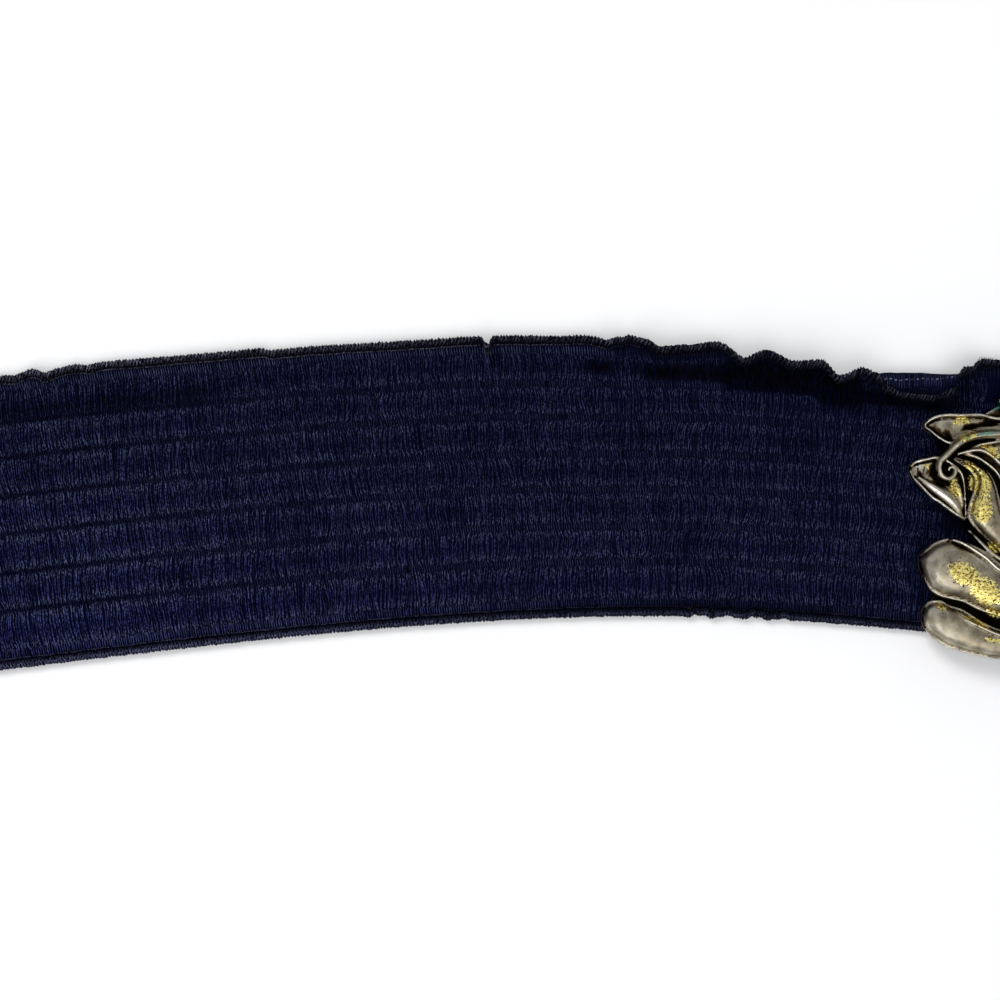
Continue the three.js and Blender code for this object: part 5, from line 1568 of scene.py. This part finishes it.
# %% Finish of the casting: antiqued white metal with a worn gold wash
GRAIN = 0.7  # of the colour of the gold, in millimetres
PITTING = 0.5  # of the pits through the gold
BLOOM = 2.6  # of the cloudy patches on the silver
casting_finish, tree, shader = new_material("antiqued_white_metal", Metallic=1.0)
place = add_node(tree, "ShaderNodeTexCoord")
specks, clouds, pits = [
    add_node(
        tree,
        "ShaderNodeTexNoise",
        {"Vector": place.outputs["Object"], "Scale": 1 / (size * MM), "Detail": detail},
    ).outputs["Fac"]
    for size, detail in ((GRAIN, 3.0), (BLOOM, 4.0), (PITTING, 2.0))
]
hollow, raised, gold_patch, green_patch = [
    add_node(tree, "ShaderNodeAttribute", attribute_name=kept).outputs["Fac"]
    for kept in ("hollow", "raised", "gold", "green")
]
print("gold is worn through in pits", PITTING, "mm across")

# %% How deep the oxide, the gold, the green salt and the pits are
SUMS = {
    # a noise or stored value, its weight, what is added to it
    "clouded hollow": (clouds, 0.5, hollow),
    "gold": (specks, 1.0, gold_patch),
    "green": (specks, 1.0, green_patch),
    "pits": (gold_patch, 0.14, pits),
}
depths = []
for value, weight, more in SUMS.values():
    added = add_node(tree, "ShaderNodeMath", {0: value, 1: weight, 2: more}, operation="MULTIPLY_ADD")
    depths.append(added.outputs[0])
clouded_hollow, gold_depth, green_depth, pit_depth = depths
added = add_node(tree, "ShaderNodeMath", {0: specks, 1: 0.35, 2: clouded_hollow}, operation="MULTIPLY_ADD")
oxide_depth = added.outputs[0]
print("each depth is a sum:", ", ".join(SUMS))

# %% Layers over the silver
COLOURS = [
    # value, where the second colour begins and is full, first colour, second colour
    (clouds, 0.34, 0.66, "#7a715f", "#b1a78f"),
    (specks, 0.38, 0.62, "#c4aa50", "#fff29a"),
    (oxide_depth, 0.95, 1.3, "#4a3720", "#0a0704"),
]
mixed = []
for value, begins, full, first, second in COLOURS:
    part = add_node(tree, "ShaderNodeMapRange", {"Value": value, "From Min": begins, "From Max": full})
    inputs = {"Factor": part.outputs[0], "A": linear(first), "B": linear(second)}
    mixed.append(add_node(tree, "ShaderNodeMix", inputs, data_type="RGBA").outputs["Result"])
tarnished, golden, oxide = mixed
# raised brightens polished raised edges, and paints highlights on the listed patches
inputs = {"Factor": raised, "A": tarnished, "B": linear("#ece7da")}
silver = add_node(tree, "ShaderNodeMix", inputs, data_type="RGBA").outputs["Result"]
LAYERS = [
    # depth, where the layer begins and is full, its strength, its colour
    (oxide_depth, 0.86, 1.02, 1.0, oxide),
    (gold_depth, 1.25, 1.42, 1.0, golden),
    (green_depth, 1.2, 1.5, 0.7, linear("#3f8f7c")),
    (pit_depth, 0.69, 0.75, 1.0, linear("#1c150a")),
]
finished = silver
masks = []
for value, begins, full, most, layer in LAYERS:
    mask = add_node(
        tree, "ShaderNodeMapRange", {"Value": value, "From Min": begins, "From Max": full, "To Max": most}
    ).outputs[0]
    inputs = {"Factor": mask, "A": finished, "B": layer}
    finished = add_node(tree, "ShaderNodeMix", inputs, data_type="RGBA").outputs["Result"]
    masks.append(mask)
oxide_mask = masks[0]
tree.links.new(finished, shader.inputs["Base Color"])
print("oxide is brown where thin, nearly black where deep")

# %% How dull and how uneven the metal is
inputs = {"Value": clouds, "From Min": 0.3, "From Max": 0.7, "To Min": 0.34, "To Max": 0.48}
worn = add_node(tree, "ShaderNodeMapRange", inputs)
inputs = {"Factor": raised, "A": worn.outputs[0], "B": 0.2}
polished = add_node(tree, "ShaderNodeMix", inputs, data_type="FLOAT")
inputs = {"Factor": oxide_mask, "A": polished.outputs["Result"], "B": 0.55}
dulled = add_node(tree, "ShaderNodeMix", inputs, data_type="FLOAT")
dents = add_node(tree, "ShaderNodeMath", {0: clouds, 1: 3.5, 2: specks}, operation="MULTIPLY_ADD")
inputs = {"Height": dents.outputs[0], "Distance": 0.05 * MM, "Strength": 0.6}
uneven = add_node(tree, "ShaderNodeBump", inputs)
tree.links.new(dulled.outputs["Result"], shader.inputs["Roughness"])
tree.links.new(uneven.outputs["Normal"], shader.inputs["Normal"])
print("silver roughness 0.34 to 0.48, oxide 0.55, polished edges 0.2")


# %% Placing the two castings
def clasp_to_table(points, station, mirror):
    """Clasp coordinates to the table, for the half at that end of the belt."""
    x = -points[:, 0] if mirror else points[:, 0]
    foot = in_frame(float(station), 0.0, 0.0, CLASP_HEIGHT, 0.0)
    heading = float(np.interp(station, STATIONS, HEADING))
    c, s = math.cos(heading), math.sin(heading)
    y = points[:, 1]
    return np.stack([foot[0] + c * x - s * y, foot[1] + s * x + c * y, points[:, 2]], axis=-1)


def place_in_clasp(mesh, station, mirror):
    """Moves a mesh from the clasp's frame to its end of the belt."""
    points, _, _ = mesh_arrays(mesh)
    places = clasp_to_table(points, station, mirror) * MM
    mesh.vertices.foreach_set("co", places.astype(np.float32).ravel())
    if mirror:
        mesh.flip_normals()
    mesh.update()


OPEN_SKY = 0.62  # share of the sky that leaves a point neither dark nor bright
SKY_DARK, GROOVE_DARK, STAIN_AND_SHADE_DARK = 2.2, 3.0, 0.9  # weights of the sky, the grooves and the stains
LEAST_HOLLOW, MOST_HOLLOW = -0.6, 1.4
RAISED_FROM = 0.04  # where rubbing starts to polish an edge, in millimetres above its surroundings
# weights of the polish on raised edges and of the painted highlights
RAISED_SHINE, HIGHLIGHT_SHINE = 8.0, 0.8
FACE_FROM = 0.3  # above the casting's back, where wear and colour start


def finish_masks(mesh):
    """Values at each point of a casting for its finish, and the grooves and the sky they come from."""
    points, _, _ = mesh_arrays(mesh)
    near, sky = grooves(mesh), sky_share(points)
    face = points[:, 2] > CASTING_BACK + FACE_FROM
    hollow = (OPEN_SKY - sky) * SKY_DARK + near * GROOVE_DARK + STAIN_AND_SHADE_DARK * patch_mask(points, OXIDE_AND_SHADE_PATCHES)
    # raised: polish of edges above their surroundings, plus painted highlights on the listed patches
    raised = RAISED_SHINE * (-near - RAISED_FROM) + HIGHLIGHT_SHINE * patch_mask(points, HIGHLIGHT_PATCHES)
    masks = {
        "hollow": np.clip(hollow, LEAST_HOLLOW, MOST_HOLLOW) * face,
        "raised": np.clip(raised, 0, 1) * face,
        "gold": patch_mask(points, GOLD_PATCHES) * face,
        "green": patch_mask(points, GREEN_PATCHES) * face,
    }
    return masks, near[face], sky[face]


def casting(name, node, rivet_spacing, station, mirror):
    """One clasp half: its metal, its wear, and its place at an end of the belt."""
    mesh = casting_mesh(rivet_spacing)
    masks, near, sky = finish_masks(mesh)
    place_in_clasp(mesh, station, mirror)
    mesh.shade_smooth()
    mesh.materials.clear()
    mesh.materials.append(casting_finish)
    made = linked(name, mesh)
    for kept, values in masks.items():
        set_values(made, kept, values)
    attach(made, BODY)
    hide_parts(node)
    print(name, "has", sum(len(p.vertices) - 2 for p in mesh.polygons), "triangles")
    print("grooves", np.percentile(near, [5, 50, 95]).round(2), "mm deep")
    print("share of the sky seen", np.percentile(sky, [5, 25, 50, 75, 95]).round(2))


casting("hook_relief", "hook_casting", HOOK_RIVET_SPACING, 0, False)
casting("catch_relief", "catch_casting", KEEPER_RIVET_SPACING, BELT_LENGTH, True)

# %% [markdown]
# ## Steel behind the clasp
# The bars are drawn wire and the hook and keeper are stamped from sheet, all nickel-plated. Their shapes
# in the CAD part are right, but real stamped edges are never knife-sharp, and it is the small bright line
# along an edge that makes steel look like steel. So the hook and keeper are copied from their CAD nodes,
# their flat faces are joined up, and their edges get a small bevel. The bars are built anew as round wire
# with rounded ends.

# %% Finish of the steel: satin nickel plate
SCRATCH_LENGTH = 3.0
steel, tree, shader = new_material("satin_nickel_plate", Metallic=1.0)
place = add_node(tree, "ShaderNodeTexCoord")
scuffs = add_node(
    tree,
    "ShaderNodeTexNoise",
    {"Vector": place.outputs["Object"], "Scale": 1 / (SCRATCH_LENGTH * MM), "Detail": 6.0},
)
worn = add_node(
    tree,
    "ShaderNodeMapRange",
    {"Value": scuffs.outputs["Fac"], "From Min": 0.35, "From Max": 0.65, "To Min": 0.22, "To Max": 0.4},
)
plate_colour = add_node(
    tree,
    "ShaderNodeMix",
    {"Factor": scuffs.outputs["Fac"], "A": linear("#a8a69e"), "B": linear("#d2d0c8")},
    data_type="RGBA",
)
tree.links.new(worn.outputs[0], shader.inputs["Roughness"])
tree.links.new(plate_colour.outputs["Result"], shader.inputs["Base Color"])
print("steel roughness 0.22 to 0.4")

# %% Stamped plates with softened edges
EDGE_ROUND = 0.16
FLAT_ANGLE, SHARP_ANGLE, SHADING_ANGLE = [math.radians(degrees) for degrees in (1, 35, 40)]


def softened(name, node):
    """A copy of a stamped CAD plate with joined faces and rounded edges."""
    shape = bmesh.new()
    shape.from_mesh(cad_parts[node].data)
    bmesh.ops.remove_doubles(shape, verts=shape.verts, dist=1e-6)
    bmesh.ops.dissolve_limit(shape, angle_limit=FLAT_ANGLE, verts=shape.verts, edges=shape.edges)
    sharp = [e for e in shape.edges if len(e.link_faces) == 2 and e.calc_face_angle() > SHARP_ANGLE]
    bmesh.ops.bevel(shape, geom=sharp, offset=EDGE_ROUND * MM, segments=2, affect="EDGES", clamp_overlap=True)
    bmesh.ops.triangulate(shape, faces=[f for f in shape.faces if len(f.verts) > 4])
    made = scratch_object(name, shape)
    made.data.materials.clear()
    made.data.materials.append(steel)
    made.data.shade_smooth()
    made.data.set_sharp_from_angle(angle=SHADING_ANGLE)
    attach(made, BODY)
    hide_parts(node)
    print(name, "has", len(made.data.polygons), "faces")


softened("stamped_hook", "hook_plate")
softened("stamped_keeper", "catch_plate")

# %% Wire bars
BAR_END_ROUND = 0.3
BAR_END_ANGLE = math.radians(60)
for end, station, mirror in (("hook", 0, False), ("catch", BELT_LENGTH, True)):
    shape = bmesh.new()
    cylinder_between(
        shape,
        (-BAR_FROM_SEAM, -BAR_LENGTH / 2, BAR_HEIGHT),
        (-BAR_FROM_SEAM, BAR_LENGTH / 2, BAR_HEIGHT),
        BAR_DIAMETER / 2,
    )
    rims = [e for e in shape.edges if e.calc_face_angle() > BAR_END_ANGLE]
    bmesh.ops.bevel(shape, geom=rims, offset=BAR_END_ROUND * MM, segments=2, affect="EDGES")
    wire = scratch_object(end + "_wire_bar", shape)
    place_in_clasp(wire.data, station, mirror)
    wire.data.materials.append(steel)
    wire.data.shade_smooth()
    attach(wire, BODY)
    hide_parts(end + "_side_bar")
print("two wire bars", BAR_LENGTH, "mm long")

# %% [markdown]
# ## Table, light and camera
# The belt lies on a table so brightly lit that it is white everywhere but close beside the belt. An even
# sky gives the soft shade there. A lamp from the upper side, like a window, throws the clasp's and the
# lower edge's shade downwards; the metal doesn't mirror it, as it would show as hard white spots. A large
# pale panel fills the room's other side and is what the leaves shine with. The camera looks straight down
# from 38 cm above the right part of the belt, near enough that the raised parts look a little larger.

# %% Finish of the table: matt white laminate
TABLE_SIZE = 6  # in metres
laminate, tree, shader = new_material("white_laminate", Base_Color=linear("#f4f4f4"), Roughness=0.8)
bpy.ops.mesh.primitive_plane_add(size=TABLE_SIZE, location=(0, 0, 0))
table = bpy.context.object
table.name = "table"
table.data.materials.append(laminate)

# %% Light
SKY_STRENGTH = 0.59
LIT_POINT = (0.18, 0, 0)  # what the lamps are turned to, in metres
world = bpy.data.worlds.new("soft_room")
bpy.context.scene.world = world
world.use_nodes = True
world.node_tree.nodes["Background"].inputs["Color"].default_value = linear("#f6f7fb")
world.node_tree.nodes["Background"].inputs["Strength"].default_value = SKY_STRENGTH


def lamp(name, place, size, watts, mirrored=True):
    """A square lamp that shines at the belt right of its middle. mirrored: whether shiny things show it."""
    light = bpy.data.lights.new(name, "AREA")
    light.size = size
    light.energy = watts
    made = linked(name, light)
    made.location = place
    made.visible_glossy = mirrored
    aim = np.array(LIT_POINT) - np.array(place)
    x, y, z = aim / np.linalg.norm(aim)
    made.rotation_euler = (math.acos(-z), 0, math.atan2(y, x) - math.pi / 2)
    print(name, "shines", watts, "W from", place)


lamp("window", (-0.35, 1.0, 1.2), 0.6, 13.0, mirrored=False)
lamp("ceiling_panel", (0.05, -0.8, 1.15), 1.2, 7.8)
bpy.context.scene.view_settings.view_transform = "Standard"

# %% Camera
FRAME_WIDTH = 259.7  # of the table, in the picture's width
CAMERA_HEIGHT = 380.0
AIM = (180.0, 6.2)
BELT_TURN = 7.5  # degrees that the belt is turned in the picture
camera_data = bpy.data.cameras.new("camera")
camera = linked("camera", camera_data)
camera.location = (AIM[0] * MM, AIM[1] * MM, CAMERA_HEIGHT * MM)
camera.rotation_euler = (0, 0, -math.radians(BELT_TURN))
camera_data.angle = 2 * math.atan(FRAME_WIDTH / 2 / CAMERA_HEIGHT)
camera_data.clip_start = 0.01
camera_data.clip_end = 20
bpy.context.scene.camera = camera
print("camera", CAMERA_HEIGHT, "mm above the table")
